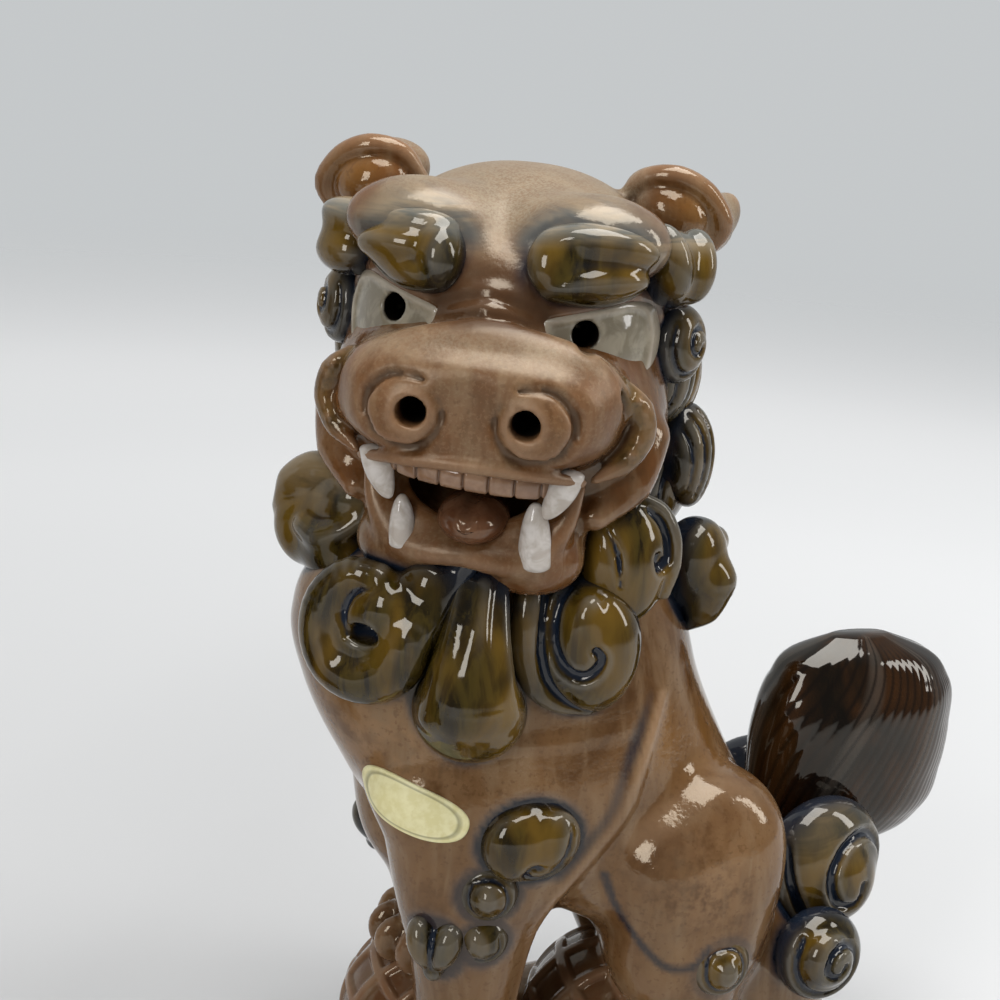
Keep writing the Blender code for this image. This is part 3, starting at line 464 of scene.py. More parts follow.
BODY_LOCKS = (
    dict(at=(26.0, -9.0, 139.0), size=(9.6, 13.0, 7.4), facing=(0.62, -0.78, 0.0), k=1.8, base=0.78,
         lumps=(((-0.16, 0.20, 0.22), (0.72, 0.60, 0.66), 12.0),
                ((0.66, 0.30, 0.04), (0.40, 0.26, 0.46), -30.0),
                ((0.16, -0.30, 0.08), (0.60, 0.44, 0.52), 18.0)),
         ropes=((((0.0, -0.2), (0.02, -0.66), (0.04, -1.06)), -0.30, (0.60, 0.44, 0.14)),),
         grooves=((((0.26, 0.6), (0.34, 0.2), (0.20, -0.3), (0.16, -0.8)), (0.2, 0.5, 0.5, 0.2)),)),
    dict(at=(24.5, -2.0, 161.0), size=(9.0, 12.2, 6.6), facing=(0.66, -0.75, 0.0), k=1.4, base=0.90,
         lumps=(((-0.05, -0.12, 0.24), (0.72, 0.80, 0.60), 8.0),),
         grooves=tuple((((x - 0.1, 0.85), (x * 1.2 + 0.1, 0.25), (x * 0.8 - 0.05, -0.7)), (0.2, 0.6, 0.2))
                       for x in (-0.6, -0.28, 0.04, 0.36, 0.66))),
)
NAPE_CURLS = tuple(
    dict(in_head=True, at=(u, v, w), size=(r, r, 5.6), facing=(u * 0.022, -1.0, (w + 8.0) * 0.018),
         flip=u > 0.0, grooves=(SPIRAL,), lumps=(((0.0, 0.0, 0.4), (0.55, 0.55, 0.5), 0.0),))
    for u, v, w, r in (
        (-14.0, -38.5, 10.0, 7.4), (0.0, -40.5, 14.0, 7.4), (14.0, -38.5, 10.0, 7.4),
        (-20.0, -36.5, -4.0, 7.0), (-7.0, -42.0, -1.0, 7.2), (7.0, -42.0, -1.0, 7.2),
        (20.0, -36.5, -4.0, 7.0),
        (-14.5, -39.5, -16.0, 7.4), (0.0, -43.5, -15.5, 7.6), (14.5, -39.5, -16.0, 7.4),
        (-8.0, -38.5, -29.0, 7.4), (8.0, -38.5, -29.0, 7.4),
    ))
LEG_CURLS = (
    dict(at=(-14.0, -30.6, 90.0), size=(11.0, 9.2, 7.4), facing=(-0.1, -1.0, 0.0), k=1.2,
         lumps=(((-0.30, 0.0, 0.35), (0.6, 0.8, 0.56), 0.0), ((0.40, 0.22, 0.4), (0.46, 0.62, 0.5), 0.0)),
         grooves=((((0.66, 0.60), (0.58, -0.10), (0.40, -0.62), (0.08, -0.78), (-0.12, -0.56), (-0.02, -0.36),
                    (0.14, -0.44)), (0.3, 0.6, 0.9, 0.9, 0.9, 0.8)),)),
    dict(at=(-21.5, -29.6, 79.0), size=(6.6, 6.6, 6.6), facing=(-0.3, -1.0, 0.0), k=1.0, line=0.7,
         lumps=(((0.0, 0.05, 0.42), (0.44, 0.50, 0.56), 0.0),), grooves=(RING,)),
    dict(at=(-21.6, -28.4, 68.0), size=(5.7, 6.0, 6.0), facing=(-0.3, -1.0, 0.0), k=1.0, line=0.7,
         lumps=(((-0.1, 0.10, 0.42), (0.50, 0.60, 0.56), 30.0),),
         grooves=((((-0.70, 0.10), (-0.42, -0.50), (0.16, -0.62), (0.62, -0.30), (0.64, 0.26)),
                   (0.3, 0.7, 0.3)),)),
    dict(at=(-30.6, -26.4, 66.0), size=(6.6, 7.6, 6.2), facing=(-0.5, -0.85, 0.0), k=0.8, base=0.74, line=0.7,
         lumps=(((-0.36, 0.14, 0.24), (0.50, 0.72, 0.62), 16.0),
                ((0.36, 0.14, 0.24), (0.50, 0.72, 0.62), -16.0),
                ((0.0, -0.60, 0.10), (0.36, 0.44, 0.46), 0.0)),
         grooves=((((0.0, 0.74), (0.0, 0.1), (0.0, -0.6)), (0.3, 0.7, 0.2)),)),
)
THIGH_CURLS = (
    dict(at=(28.4, -35.4, 60.0), size=(7.0, 7.4, 5.6), facing=(0.0, -1.0, 0.1), line=0.3,
         lumps=(((0.0, -0.05, 0.46), (0.44, 0.50, 0.6), 0.0),),
         grooves=(RING,)),
    dict(at=(55.0, -31.0, 56.0), size=(10.4, 10.6, 7.6), facing=(0.1, -1.0, 0.1),
         lumps=(((-0.1, 0.1, 0.5), (0.6, 0.6, 0.56), 0.0),), grooves=(SPIRAL,)),
)
TAIL_CURL = dict(
    at=(61.2, -17.5, 69.4), size=(16.4, 16.6, 9.4), facing=(0.22, -0.97, 0.0), k=1.4, crown=0.3,
    lumps=(((0.1, -0.15, 0.42), (0.56, 0.56, 0.56), 0.0),),
    grooves=(
        (((-0.80, 0.62), (-0.72, -0.10), (-0.30, -0.66), (0.34, -0.76), (0.76, -0.34), (0.78, 0.24),
          (0.40, 0.56), (-0.02, 0.46), (-0.26, 0.06), (-0.10, -0.32), (0.20, -0.34), (0.28, -0.10)),
         (0.9, 1.3, 1.3, 1.3, 1.3, 1.2, 1.1)),
        (((-0.94, 0.30), (-0.90, -0.30), (-0.60, -0.84)), (0.4, 0.9, 0.4)),
    ))
TAIL_KNOB = dict(
    at=(66.0, 0.0, 66.0), size=(11.0, 12.0, 11.0), facing=(1.0, 0.0, -0.3),
    grooves=(SPIRAL,), lumps=(((0.0, 0.0, 0.4), (0.55, 0.55, 0.5), 0.0),))

# curls that are pieces of their own, with their nodes
BROWS = (("brow_left", BROW_LEFT), ("brow_right", BROW_RIGHT), ("brow_end_left", BROW_END_LEFT),
         ("brow_end_right", BROW_END_RIGHT))
COLLAR = (("chin_tuft", CHIN_TUFT), ("chin_curl_left", CHIN_CURL_LEFT), ("chin_curl_right", CHIN_CURL_RIGHT),
          ("neck_curl_left", NECK_CURL_LEFT), ("neck_curl_right", NECK_CURL_RIGHT))


def across(curl):
    """The same curl on the dog's other side."""
    axis = 0 if curl.get("in_head") else 1
    return dict(curl, flip=not curl.get("flip", False), at=on_side(curl["at"], -1.0, axis),
                facing=on_side(curl["facing"], -1.0, axis))


def curl_place(curl):
    """Middle and axes of a curl in the dog's frame: to the viewer's right, up, and the way it faces."""
    at, facing = np.array(curl["at"], float), np.array(curl["facing"], float)
    if curl.get("in_head"):
        at, facing = from_head(at), HEAD_AXES @ facing
    return at, facing_axes(facing)


def near(points, curl, reach):
    """How near points lie to a curl's outline: its line value at it, 0 at reach millimetres away."""
    at, axes = curl_place(curl)
    x, y, z = ((points - at) @ axes).T
    return curl.get("line", 1.0) * ramp(-ball(x, y, z, (0.0, 0.0, 0.0), curl["size"]), -reach, -0.2)


def facing_axes(facing, up=(0.0, 0.0, 1.0)):
    """Matrix whose columns point to the viewer's right, up, and along the way a curl faces."""
    n = np.array(facing, float) / np.linalg.norm(facing)
    right = np.cross(up, n)
    right /= np.linalg.norm(right)
    return np.column_stack((right, np.cross(n, right), n))


def raised(egg, rise):
    """An egg of the head, moved up."""
    (u, v, w), radii = egg
    return (u, v, w + rise), radii


def skull_out(u, w):
    """How far out of the face the skull lies at u and w, from the power mean that shapes it."""
    (u0, v0, w0), (a, b, c) = CRANIUM
    left = 1.0 - (np.abs(u - u0) / a) ** SKULL_POWER - (np.abs(w - w0) / c) ** SKULL_POWER
    return v0 + b * np.maximum(left, 0.0) ** (1.0 / SKULL_POWER)


def pupil_line(side):
    """The axis of the pupil's hole on that side of the face: out through the inlay and a little outward."""
    u, w = PUPILS[side]
    return (side * (u - 2.6), 12.0, w - 0.7), (side * (u + 2.6), 36.0, w + 0.7)


def within(x, y, outline):
    """Distance outside a bulging outline: the greatest of those beyond its sides."""
    middle = np.mean(outline, axis=0)
    best = None
    for (ax, ay), (bx, by) in zip(outline, outline[1:] + outline[:1]):
        nx, ny = by - ay, ax - bx
        size = math.hypot(nx, ny) * (1.0 if nx * (ax - middle[0]) + ny * (ay - middle[1]) > 0.0 else -1.0)
        d = (nx * (x - ax) + ny * (y - ay)) / size
        best = d if best is None else -soft_min(-best, -d, 1.0)
    return best


def shape_body(cell):
    """Clay of the trunk, the forelegs with their paws, and the hind legs."""
    clay = Clay(*BODY_CORNERS, cell)
    middle = [(a + b) / 2.0 for a, b in zip(TRUNK_FRONT, TRUNK_BACK)]
    half = [(b - a) / 2.0 for a, b in zip(TRUNK_FRONT, TRUNK_BACK)]
    clay.stack(TRUNK_Z, middle, half, TRUNK_HALF, 0.0, 1.0)
    clay.stack(PLANTED_Z, PLANTED_X, PLANTED_A, PLANTED_B, -LEG_Y, 5.0)
    clay.stack(RAISED_Z, RAISED_X, RAISED_A, RAISED_B, LEG_Y, 5.0)
    for side, lift, back in ((1.0,) + PLANTED_PAW, (-1.0,) + RAISED_PAW):
        centre, radii, turn = THIGH
        clay.ball((on_side(centre, side, 1), radii), 4.0, turn=turn, power=2.5)
        clay.rope([on_side(p, side, 1) for p in SHIN], (SHIN_R, SHIN_R * 0.9), 4.0, count=2)
        clay.ball((on_side(HIND_FOOT[0], side, 1), HIND_FOOT[1]), 3.0, power=2.3)
        clay.rope([on_side(p, side, 1) for p in LEG_RIDGE], LEG_RIDGE_R, 2.0, count=22)
        clay.ball((on_side(GROIN[0], side, 1), GROIN[1]), 7.0)
        for i, beside_middle in enumerate(TOES):
            inner = i in (1, 2)
            hind = (HIND_TOE_X - 1.6 * inner, HIND_FOOT[0][1] + beside_middle * 0.92, 5.6)
            front = (FORE_TOE_X + back + 2.4 * abs(i - 1.5), -side * LEG_Y + beside_middle * 1.06, 6.0 + lift)
            clay.ball((on_side(hind, side, 1), HIND_TOE), 0.8)
            clay.ball((front, (FORE_TOE[0] + inner * 1.2,) + FORE_TOE[1:]), 0.8)
    clay.field = np.maximum(clay.field, -clay.axes[2][None, None, :])
    return clay


def lay(clay, side, rope, carve=False, shift=0.0):
    """Lays or cuts one of the head's ropes, given as path, radii, fillet and bits, on a side of the face."""
    line, radii, k, count = rope
    clay.rope([(side * (u + shift), v, w) for u, v, w in line], radii, k, count, carve)


def lump(clay, side, egg, k, carve=False, lean=0.0, shift=0.0):
    """Adds or takes away an egg on a side of the face."""
    (u, v, w), radii = egg
    clay.ball(((side * (u + shift), v, w), radii), k, turn=(0.0, side * lean, 0.0), carve=carve)


def shape_head(cell, mouth_open):
    """Clay of one head: skull, snout, jaw, ears and the small modelling of the face."""
    clay = Clay(*HEAD_CORNERS, cell)
    rise = 0.0 if mouth_open else SHUT_JAW_RISE
    clay.ball(CRANIUM, 1.0, power=SKULL_POWER)
    clay.ball(BRIDGE, 6.0)
    for s in (-1.0, 1.0):
        lump(clay, s, CHEEK, 6.0)
        lump(clay, s, BROW_SHELF, 5.0)
    clay.ball(raised(JAW, rise), 3.0, power=2.3)
    for s in (-1.0, 1.0):
        lump(clay, s, raised(CHIN_HALF, rise), 4.0)
    clay.ball(raised(CHIN_DENT, rise), 4.0, carve=True)
    if mouth_open:
        clay.ball(MOUTH, 2.0, carve=True)
        clay.rope(*GUM)
        clay.rope(*LOWER_LIP)
    else:
        clay.rope(*SHUT_SEAM, carve=True)
    clay.ball((SNOUT[0], (SNOUT[1][0], SNOUT[1][1] + 2.0, SNOUT[1][2])), 3.5, power=2.8)
    clay.rope(*SNOUT_ROLL)
    clay.merge(lambda u, v, w: SNOUT_FLAT - SNOUT_BOW[0] * u * u - SNOUT_BOW[1] * (w + 1.0) ** 2 - v,
               (-28.0, 40.0, -16.0), (28.0, 50.0, 16.0), 2.5, carve=True)
    clay.ball(SNOUT_DENT, 4.0, carve=True)
    clay.rope(*UPPER_LIP)
    for half, out, up in BRIDGE_FOLDS:
        fold = ((-half, out - 3.4, up - 2.4), (0.0, out, up), (half, out - 3.4, up - 2.4))
        clay.rope(fold, (0.9, 1.9, 0.9), 1.3, count=15)
    for s in (-1.0, 1.0):
        u0, _, w0 = NOSTRIL_AT
        lump(clay, s, NOSTRIL_MOUND, 1.6)
        angles = np.linspace(0.35 * math.pi, 2.15 * math.pi, 25)
        (u_mid, w_mid), (wide, high) = NOSTRIL_CREASE
        ring = [(s * (u_mid - wide * math.cos(t)), w_mid + high * math.sin(t)) for t in angles]
        ring = [(u, clay.reach_at(1, u, w) + 0.15, w) for u, w in ring]
        clay.rope(ring, (0.5, 1.0, 1.2, 1.1, 0.6), 0.6, count=25, carve=True)
        bore = (((u0 * 0.94, 30.0, w0 + 1.0), (u0, 50.0, w0)), (NOSTRIL_R, NOSTRIL_R), 0.8, 2)
        lay(clay, s, bore, carve=True)
        lay(clay, s, CHEEK_PAD)
        lay(clay, s, CHEEK_FOLD, carve=True)
        for i in range(WHISKER_DOTS):
            t = i / (WHISKER_DOTS - 1.0)
            bow = math.sin(math.pi * t)
            lump(clay, s, ((28.6 + 1.6 * bow, 29.4 - 1.2 * bow, 3.6 - 10.0 * t), (0.9, 0.9, 0.9)), 0.6)
        lay(clay, s, JOWL)
        rim = [(s * u, skull_out(u, w) + 0.1, w) for u, w in EYE_OUTLINE + EYE_OUTLINE[:1]]
        clay.rope(rim, EYE_RIM_R, 1.2, count=40)
        shift = EAR_SHIFT[s]
        lump(clay, s, EAR, 3.0, lean=EAR_LEAN, shift=shift)
        lump(clay, s, EAR_ROOT, 3.0, shift=shift)
        lump(clay, s, EAR_LOBE, 2.0, lean=14.0, shift=shift)
        lay(clay, s, EAR_RIM, shift=shift)
        lump(clay, s, EAR_HOLLOW, 1.6, carve=True, lean=EAR_LEAN, shift=shift)
        lump(clay, s, EAR_PAD, 1.2, lean=EAR_LEAN, shift=shift)
        clay.rope(pupil_line(s), (PUPIL_R, PUPIL_R), 0.6, count=2, carve=True)
    return clay


CURL_SINK = 0.12          # how deep the egg of a curl sits, as a share of its depth
CURL_DOME = 0.92          # half depth of that egg, as the same share
GROOVE_BITS = 44
GROOVE_MEAN = 9           # neighbouring heights that each height of a groove is the mean of


def dome_height(x, y, base):
    """Height, as a fraction, of the egg of a curl over a place in it."""
    return -CURL_SINK + CURL_DOME * np.sqrt(np.maximum(0.01, 1.0 - (x * x + y * y) / base ** 2))


def shape_curl(cell, curl):
    """Clay of one curl in its own frame, with lengths as fractions of its half sizes.

    It is a flat egg.  Ropes and lumps are laid on it, grooves follow its dome and are cut into it,
    and pits are sunk into it.
    """
    size, k, base = curl["size"], curl.get("k", 0.8), curl.get("base", 0.97)
    a, b, c = size
    reach = np.array(size) * 1.45 + 1.0
    clay = Clay(-reach, reach, cell)
    clay.ball(((0.0, 0.0, -CURL_SINK * c), (a * base, b * base, c * CURL_DOME)), 0.3)
    for centre, radii, turn in curl.get("lumps", ()):
        clay.ball(([n * m for n, m in zip(centre, size)], [n * m for n, m in zip(radii, size)]), k,
                  turn=(0.0, 0.0, turn))
    for points, lift, widths in curl.get("ropes", ()):
        line = [(x * a, y * b, (dome_height(x, y, 1.15) + lift) * c) for x, y in points]
        clay.rope(line, [w * min(a, b) for w in widths], k, count=36)
    for points, widths in curl.get("grooves", ()):
        fine = path([(x, y, 0.0) for x, y in points], GROOVE_BITS)
        heights = [clay.reach_at(2, x * a, y * b) for x, y, _ in fine]
        heights = np.pad(heights, GROOVE_MEAN // 2, mode="edge")
        heights = np.convolve(heights, np.ones(GROOVE_MEAN) / GROOVE_MEAN, mode="valid")
        line = [(x * a, y * b, z) for (x, y, _), z in zip(fine, heights)]
        clay.rope(line, widths, 0.7, count=GROOVE_BITS, carve=True)
    for (x, y), (wide, high), deep in curl.get("pits", ()):
        top = clay.reach_at(2, x * a, y * b)
        clay.ball(((x * a, y * b, top), (wide * a, high * b, deep * c)), 0.8, carve=True)
    return clay


# Meshes

def grid_faces(rows, columns):
    """Four-cornered faces of a grid whose columns close up into rings."""
    i, j = np.meshgrid(np.arange(rows - 1), np.arange(columns), indexing="ij")
    nxt = (j + 1) % columns
    return np.stack((i * columns + j, i * columns + nxt, (i + 1) * columns + nxt, (i + 1) * columns + j),
                    axis=-1).reshape(-1, 4)


def ringed(surface):
    """Points, quads and triangles of rings laid end to end, each end closed by a fan on its middle."""
    rows, columns = surface.shape[:2]
    points = surface.reshape(-1, 3)
    quads = grid_faces(rows, columns)
    first, last = len(points), len(points) + 1
    points = np.vstack((points, surface[0].mean(axis=0), surface[-1].mean(axis=0)))
    j = np.arange(columns)
    nxt = (j + 1) % columns
    start = np.column_stack((np.full(columns, first), nxt, j))
    end = (rows - 1) * columns
    stop = np.column_stack((np.full(columns, last), end + j, end + nxt))
    return points, quads, np.vstack((start, stop))


NO_TRIANGLES = np.zeros((0, 3), int)
FOOT_GLAZE = 0.9          # strength of the dark glaze round the foot of a curl


def outward(points, quads, triangles):
    """The faces turned so that the sum of a . (b x c) / 6 over their triangles is above nought."""
    flat = np.vstack((quads[:, [0, 1, 2]], quads[:, [0, 2, 3]], triangles))
    a, b, c = (points[flat[:, i]] for i in range(3))
    if np.einsum("ij,ij->i", a, np.cross(b, c)).sum() < 0.0:
        return quads[:, ::-1], triangles[:, ::-1]
    return quads, triangles


def make_piece(name, shell, side, body, finish, nodes=()):
    """A mesh object from a shell in a dog's frame, mirrored for the second dog, riding on its body."""
    points, quads, triangles, marks = shell
    x, y, z = points.T
    world = np.column_stack((side * (x + DOG_OFFSET), y + DOG_SETBACK, z)) * MM
    if side < 0.0:
        quads, triangles = quads[:, ::-1], triangles[:, ::-1]
    mesh = bpy.data.meshes.new(name)
    corners = np.concatenate((quads.ravel(), triangles.ravel())).astype(np.int32)
    sizes = np.concatenate((np.full(len(quads), 4), np.full(len(triangles), 3)))
    mesh.vertices.add(len(world))
    mesh.vertices.foreach_set("co", world.astype(np.float32).ravel())
    mesh.loops.add(len(corners))
    mesh.loops.foreach_set("vertex_index", corners)
    mesh.polygons.add(len(sizes))
    mesh.polygons.foreach_set("loop_start", np.concatenate(([0], np.cumsum(sizes)[:-1])).astype(np.int32))
    mesh.polygons.foreach_set("use_smooth", np.full(len(sizes), True))
    for key, values in marks.items():
        layer = mesh.attributes.new(key, "FLOAT", "POINT")
        layer.data.foreach_set("value", np.clip(values, 0.0, 1.0).astype(np.float32))
    mesh.update(calc_edges=True)
    mesh.validate()
    piece = bpy.data.objects.new(name, mesh)
    bpy.context.scene.collection.objects.link(piece)
    mesh.materials.append(finish)
    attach(piece, body)
    if nodes:
        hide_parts(*nodes)
    return piece


def join_shells(shells):
    """One shell out of several closed ones; marks that one of them lacks are nought there."""
    keys = sorted({key for shell in shells for key in shell[3]})
    points, quads, triangles, marks, at = [], [], [], {key: [] for key in keys}, 0
    for p, q, t, m in shells:
        points.append(p)
        quads.append(q + at)
        triangles.append(t + at)
        for key in keys:
            marks[key].append(m.get(key, np.zeros(len(p))))
        at += len(p)
    return (np.vstack(points), np.vstack(quads), np.vstack(triangles),
            {key: np.concatenate(values) for key, values in marks.items()})


def ring_shell(surface, marks, place=None):
    """A shell out of rings laid end to end; each mark is its values on the rings and on the two ends."""
    points, quads, triangles = ringed(surface)
    placed = points if place is None else place(points)
    quads, triangles = outward(placed, quads, triangles)
    values = {key: np.concatenate((np.broadcast_to(grid, surface.shape[:2]).ravel(), ends))
              for key, (grid, ends) in marks.items()}
    return placed, quads, triangles, values


def quad_shell(placed, quads, marks):
    """A shell of four-cornered faces only."""
    return placed, outward(placed, quads, NO_TRIANGLES)[0], NO_TRIANGLES, marks


def clay_shell(clay, groove, ridge, place=None):
    """Skin of a lump of clay in the dog's frame, marked where glaze pools and where it runs thin."""
    points, quads = clay.skin()
    bend = clay.bend(points)
    marks = {"pool": ramp(-bend, *groove), "thin": ramp(bend, *ridge)}
    return quad_shell(points if place is None else place(points), quads, marks)


def curl_shell(cell, curl):
    """Skin of one curl in the dog's frame, with dark glaze run round its foot.

    A curl is a dict of at, size and facing, in_head for one that is given in the head's frame, flip
    for one that is turned over sideways, crown and line for the strength of those marks, and the
    form of the clay.
    """
    at, axes = curl_place(curl)
    if curl.get("flip"):
        axes[:, 0] *= -1.0
    size = curl["size"]
    clay = shape_curl(cell, curl)
    points, quads = clay.skin()
    bend = clay.bend(points)
    foot = ramp(-points[:, 2], -0.34 * size[2], 0.10 * size[2]) * FOOT_GLAZE
    marks = {"pool": np.maximum(ramp(-bend, 0.10, 0.60), foot), "thin": ramp(bend, 0.22, 0.60),
             "deep": 1.0 - ramp(points[:, 2] / size[2], 0.10, 0.66),
             "crown": curl.get("crown", 0.0) * ramp(points[:, 1] / size[1], 0.05, 0.62)}
    return quad_shell(points @ axes.T + at, quads, marks)


# The other pieces.

PAW_BALL = ((-19.0, 18.0, 20.2), 20.6)
BELLY_BALL = ((22.5, 0.0, 22.4), 23.0)
BALL_LEAN = (62.0, 0.0, 24.0)
BALL_RIBS = 9
BALL_LIFT = 0.9
UPPER_FANG = ((17.9, 35.2, -10.4), (14.8, 36.2, -19.0), (3.1, 2.2), 0.4)
LOWER_FANGS = (("left", (13.4, 35.0, -28.0), (12.7, 35.6, -16.0), (3.2, 3.0)),
               ("right", (-11.8, 35.0, -27.4), (-12.2, 35.6, -17.8), (2.6, 2.8)))
UPPER_TEETH = 7
STRIP_HALF = 15.8         # the strip of teeth: half its width, then the place and the bow of its middle
STRIP_OUT, STRIP_OUT_BOW = 41.6, 0.030
STRIP_UP, STRIP_UP_BOW = -11.4, 0.004
TONGUE_R = (8.2, 12.0, 4.8)
TONGUE_AT = (0.9, 31.0, -21.6)
PLUME_KNOTS = (0.0, 0.08, 0.2, 0.4, 0.6, 0.8, 0.92, 1.0)
PLUME_FRONT = (62.0, 54.0, 50.4, 49.6, 50.0, 52.6, 57.0, 67.0)
PLUME_BACK = (76.0, 88.0, 95.0, 97.8, 98.4, 97.0, 91.0, 80.0)
PLUME_HALF = (3.0, 8.0, 11.4, 13.6, 13.8, 11.6, 8.0, 2.4)
PLUME_FOOT = 64.5
PLUME_RISE = 53.3
PLUME_POWER = 2.3
COMB_LINES = 54.0
PLUME_LOCKS = 7.0
LABEL_HALF = (12.3, 5.0)
LABEL_POWER = 2.4


def around(columns):
    """Angles spread evenly over a full turn, as a row."""
    return np.linspace(0.0, 2.0 * math.pi, columns, endpoint=False)[None, :]


def up_and_down(rows):
    """Angles from a ball's lowest ring to its highest, as a column."""
    return np.linspace(-0.5 * math.pi, 0.5 * math.pi, rows + 2)[1:-1, None]


def spread(*coords):
    """Rings of points from coordinates that are each a grid, a row or a column."""
    return np.stack(np.broadcast_arrays(*coords), axis=-1)


def lattice_ball(centre, radius):
    """A ball whose radius falls between two crossing sets of ribs.

    Over the angle a round it and the sine s of the height, the ribs lie where the cosine of
    ribs * (a + twist) or ribs * (a - twist) is 1, with twist growing with the height; the radius is
    the full one on a rib and lift less in the middle of a diamond.
    """
    rows, columns = ((130, 260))
    tilt, turn = up_and_down(rows), around(columns)
    twist = np.arctanh(np.clip(np.sin(tilt), -0.94, 0.94))
    one_way, other_way = (0.5 + 0.5 * np.cos(BALL_RIBS * angle) for angle in (turn + twist, turn - twist))
    rib = np.maximum(one_way, other_way)
    ridge = ramp(rib, 0.72, 0.97) * ramp(np.cos(tilt), 0.22, 0.42)
    r = radius - BALL_LIFT * (1.0 - ridge)
    ball_points = spread(r * np.cos(tilt) * np.cos(turn), r * np.cos(tilt) * np.sin(turn), r * np.sin(tilt))
    surface = ball_points @ turned(BALL_LEAN).T + np.array(centre)
    surface[..., 2] = np.maximum(surface[..., 2], 0.05)
    return ring_shell(surface, {"thin": (ridge, (0.0, 0.0)), "pool": (0.5 * (1.0 - ridge), (0.5, 0.5))})


def tooth(base, tip, radii, bow=0.0):
    """A pointed tooth in the head's frame: rings of radius r * (1 - t ** 2.2) ** 0.5 from base to tip.

    Below the base, where t is under 0, the rings close to a round end.
    """
    base, tip = np.array(base, float), np.array(tip, float)
    t, turn = np.linspace(-0.12, 0.985, 28)[:, None], around(28)
    shrink = np.sqrt(1.0 - np.maximum(t, 0.0) ** 2.2) * (1.0 + 0.10 * np.cos(3.0 * turn) * t * (1.0 - t))
    shrink = shrink * np.sqrt(1.0 - (np.minimum(t, 0.0) / 0.13) ** 2)
    line = base + (tip - base) * t + np.array((bow, 0.0, 0.0)) * np.sin(math.pi * t)
    ring = spread(radii[0] * np.cos(turn) * shrink, radii[1] * np.sin(turn) * shrink, 0.0)
    return ring_shell(line[:, None, :] + ring, {"thin": (t, (0.0, 1.0))}, from_head)


def tooth_strip():
    """The strip of upper teeth in the head's frame: a bowed bar whose face is notched between teeth.

    Over s from -1 to 1 across the mouth its middle lies at u = half the width times s, and v and w
    fall off as the square of u.  The oval round it loses depth and height where s times half the
    number of teeth is nearly a whole number.
    """
    s, turn = np.linspace(-1.0, 1.0, 170)[:, None], around(36)
    u = STRIP_HALF * s
    v = STRIP_OUT - STRIP_OUT_BOW * u * u
    w = STRIP_UP - 0.9 * s - STRIP_UP_BOW * u * u
    notch = np.exp(-(np.abs((s * UPPER_TEETH / 2.0 + 0.5) % 1.0 - 0.5) / 0.055) ** 2)
    end = np.sqrt(np.maximum(0.05, 1.0 - np.abs(s) ** 10))
    c, n = np.cos(turn), np.sin(turn)
    depth = (1.9 - 0.75 * notch * ramp(c, -0.2, 0.6)) * end
    high = (2.5 - 0.45 * notch * ramp(-n, 0.0, 0.9)) * end
    surface = spread(u, v + depth * c, w + high * np.sign(n) * np.abs(n) ** 0.8)
    return ring_shell(surface, {"pool": (notch * ramp(c, -0.2, 0.6), (0.0, 0.0))}, from_head)


def tongue_shell():
    """The tongue in the head's frame: a flattened egg with a hollow along its middle."""
    tilt, turn = up_and_down(60), around(96)
    u = TONGUE_R[0] * np.cos(tilt) * np.cos(turn)
    v = TONGUE_R[1] * np.cos(tilt) * np.sin(turn)
    w = TONGUE_R[2] * np.sin(tilt) + 0.0 * turn
    w = w - 0.9 * np.exp(-(u / 1.6) ** 2) * (w > 0.0) * ramp(v, -8.0, 4.0)
    surface = spread(u * 0.84 + TONGUE_AT[0], v * 0.85 + TONGUE_AT[1], w + TONGUE_AT[2])
    return ring_shell(surface, {}, from_head)


def eye_shell(cell, side):
    """An eye inlay: the skull's own curve laid 0.6 to 1.9 mm higher inside the eye's outline, drilled."""
    clay = Clay((4.0, 0.0, 0.0), (36.0, 36.0, 26.0), cell)

    def inlay(x, y, z):
        skull = ball(x, y, z, *CRANIUM, power=SKULL_POWER)
        beyond = within(x, z, EYE_OUTLINE)
        skin = skull - 0.6 - 0.5 * ramp(-beyond, 0.0, 6.0) - 0.8 * np.exp(-((beyond + 1.1) / 0.75) ** 2)
        return -soft_min(-skin, -beyond + 0.0 * skin, 0.8)

    clay.merge(inlay, (5.0, 1.0, 1.0), (35.0, 35.0, 25.0), 0.2)
    deep = ball(*clay.window(clay.low, clay.low + 100.0)[1], *CRANIUM, power=SKULL_POWER)
    clay.field = np.maximum(clay.field, (-deep - 3.0).astype(np.float32))
    hole = [on_side(end, side, 0) for end in pupil_line(side)]
    clay.rope(hole, (PUPIL_R, PUPIL_R), 0.6, count=2, carve=True)
    points, quads = clay.skin()
    x, y, z = points.T
    rim = ramp(within(x, z, EYE_OUTLINE), -2.0, -0.9)
    # painted shade on the walls of the pupil's hole
    inside = ramp(-strand(x, y, z, hole, (PUPIL_R, PUPIL_R)), -0.25, 0.0)
    placed = from_head(points * np.array((side, 1.0, 1.0)))
    return quad_shell(placed, quads, {"pool": rim * 0.8, "dark": inside})


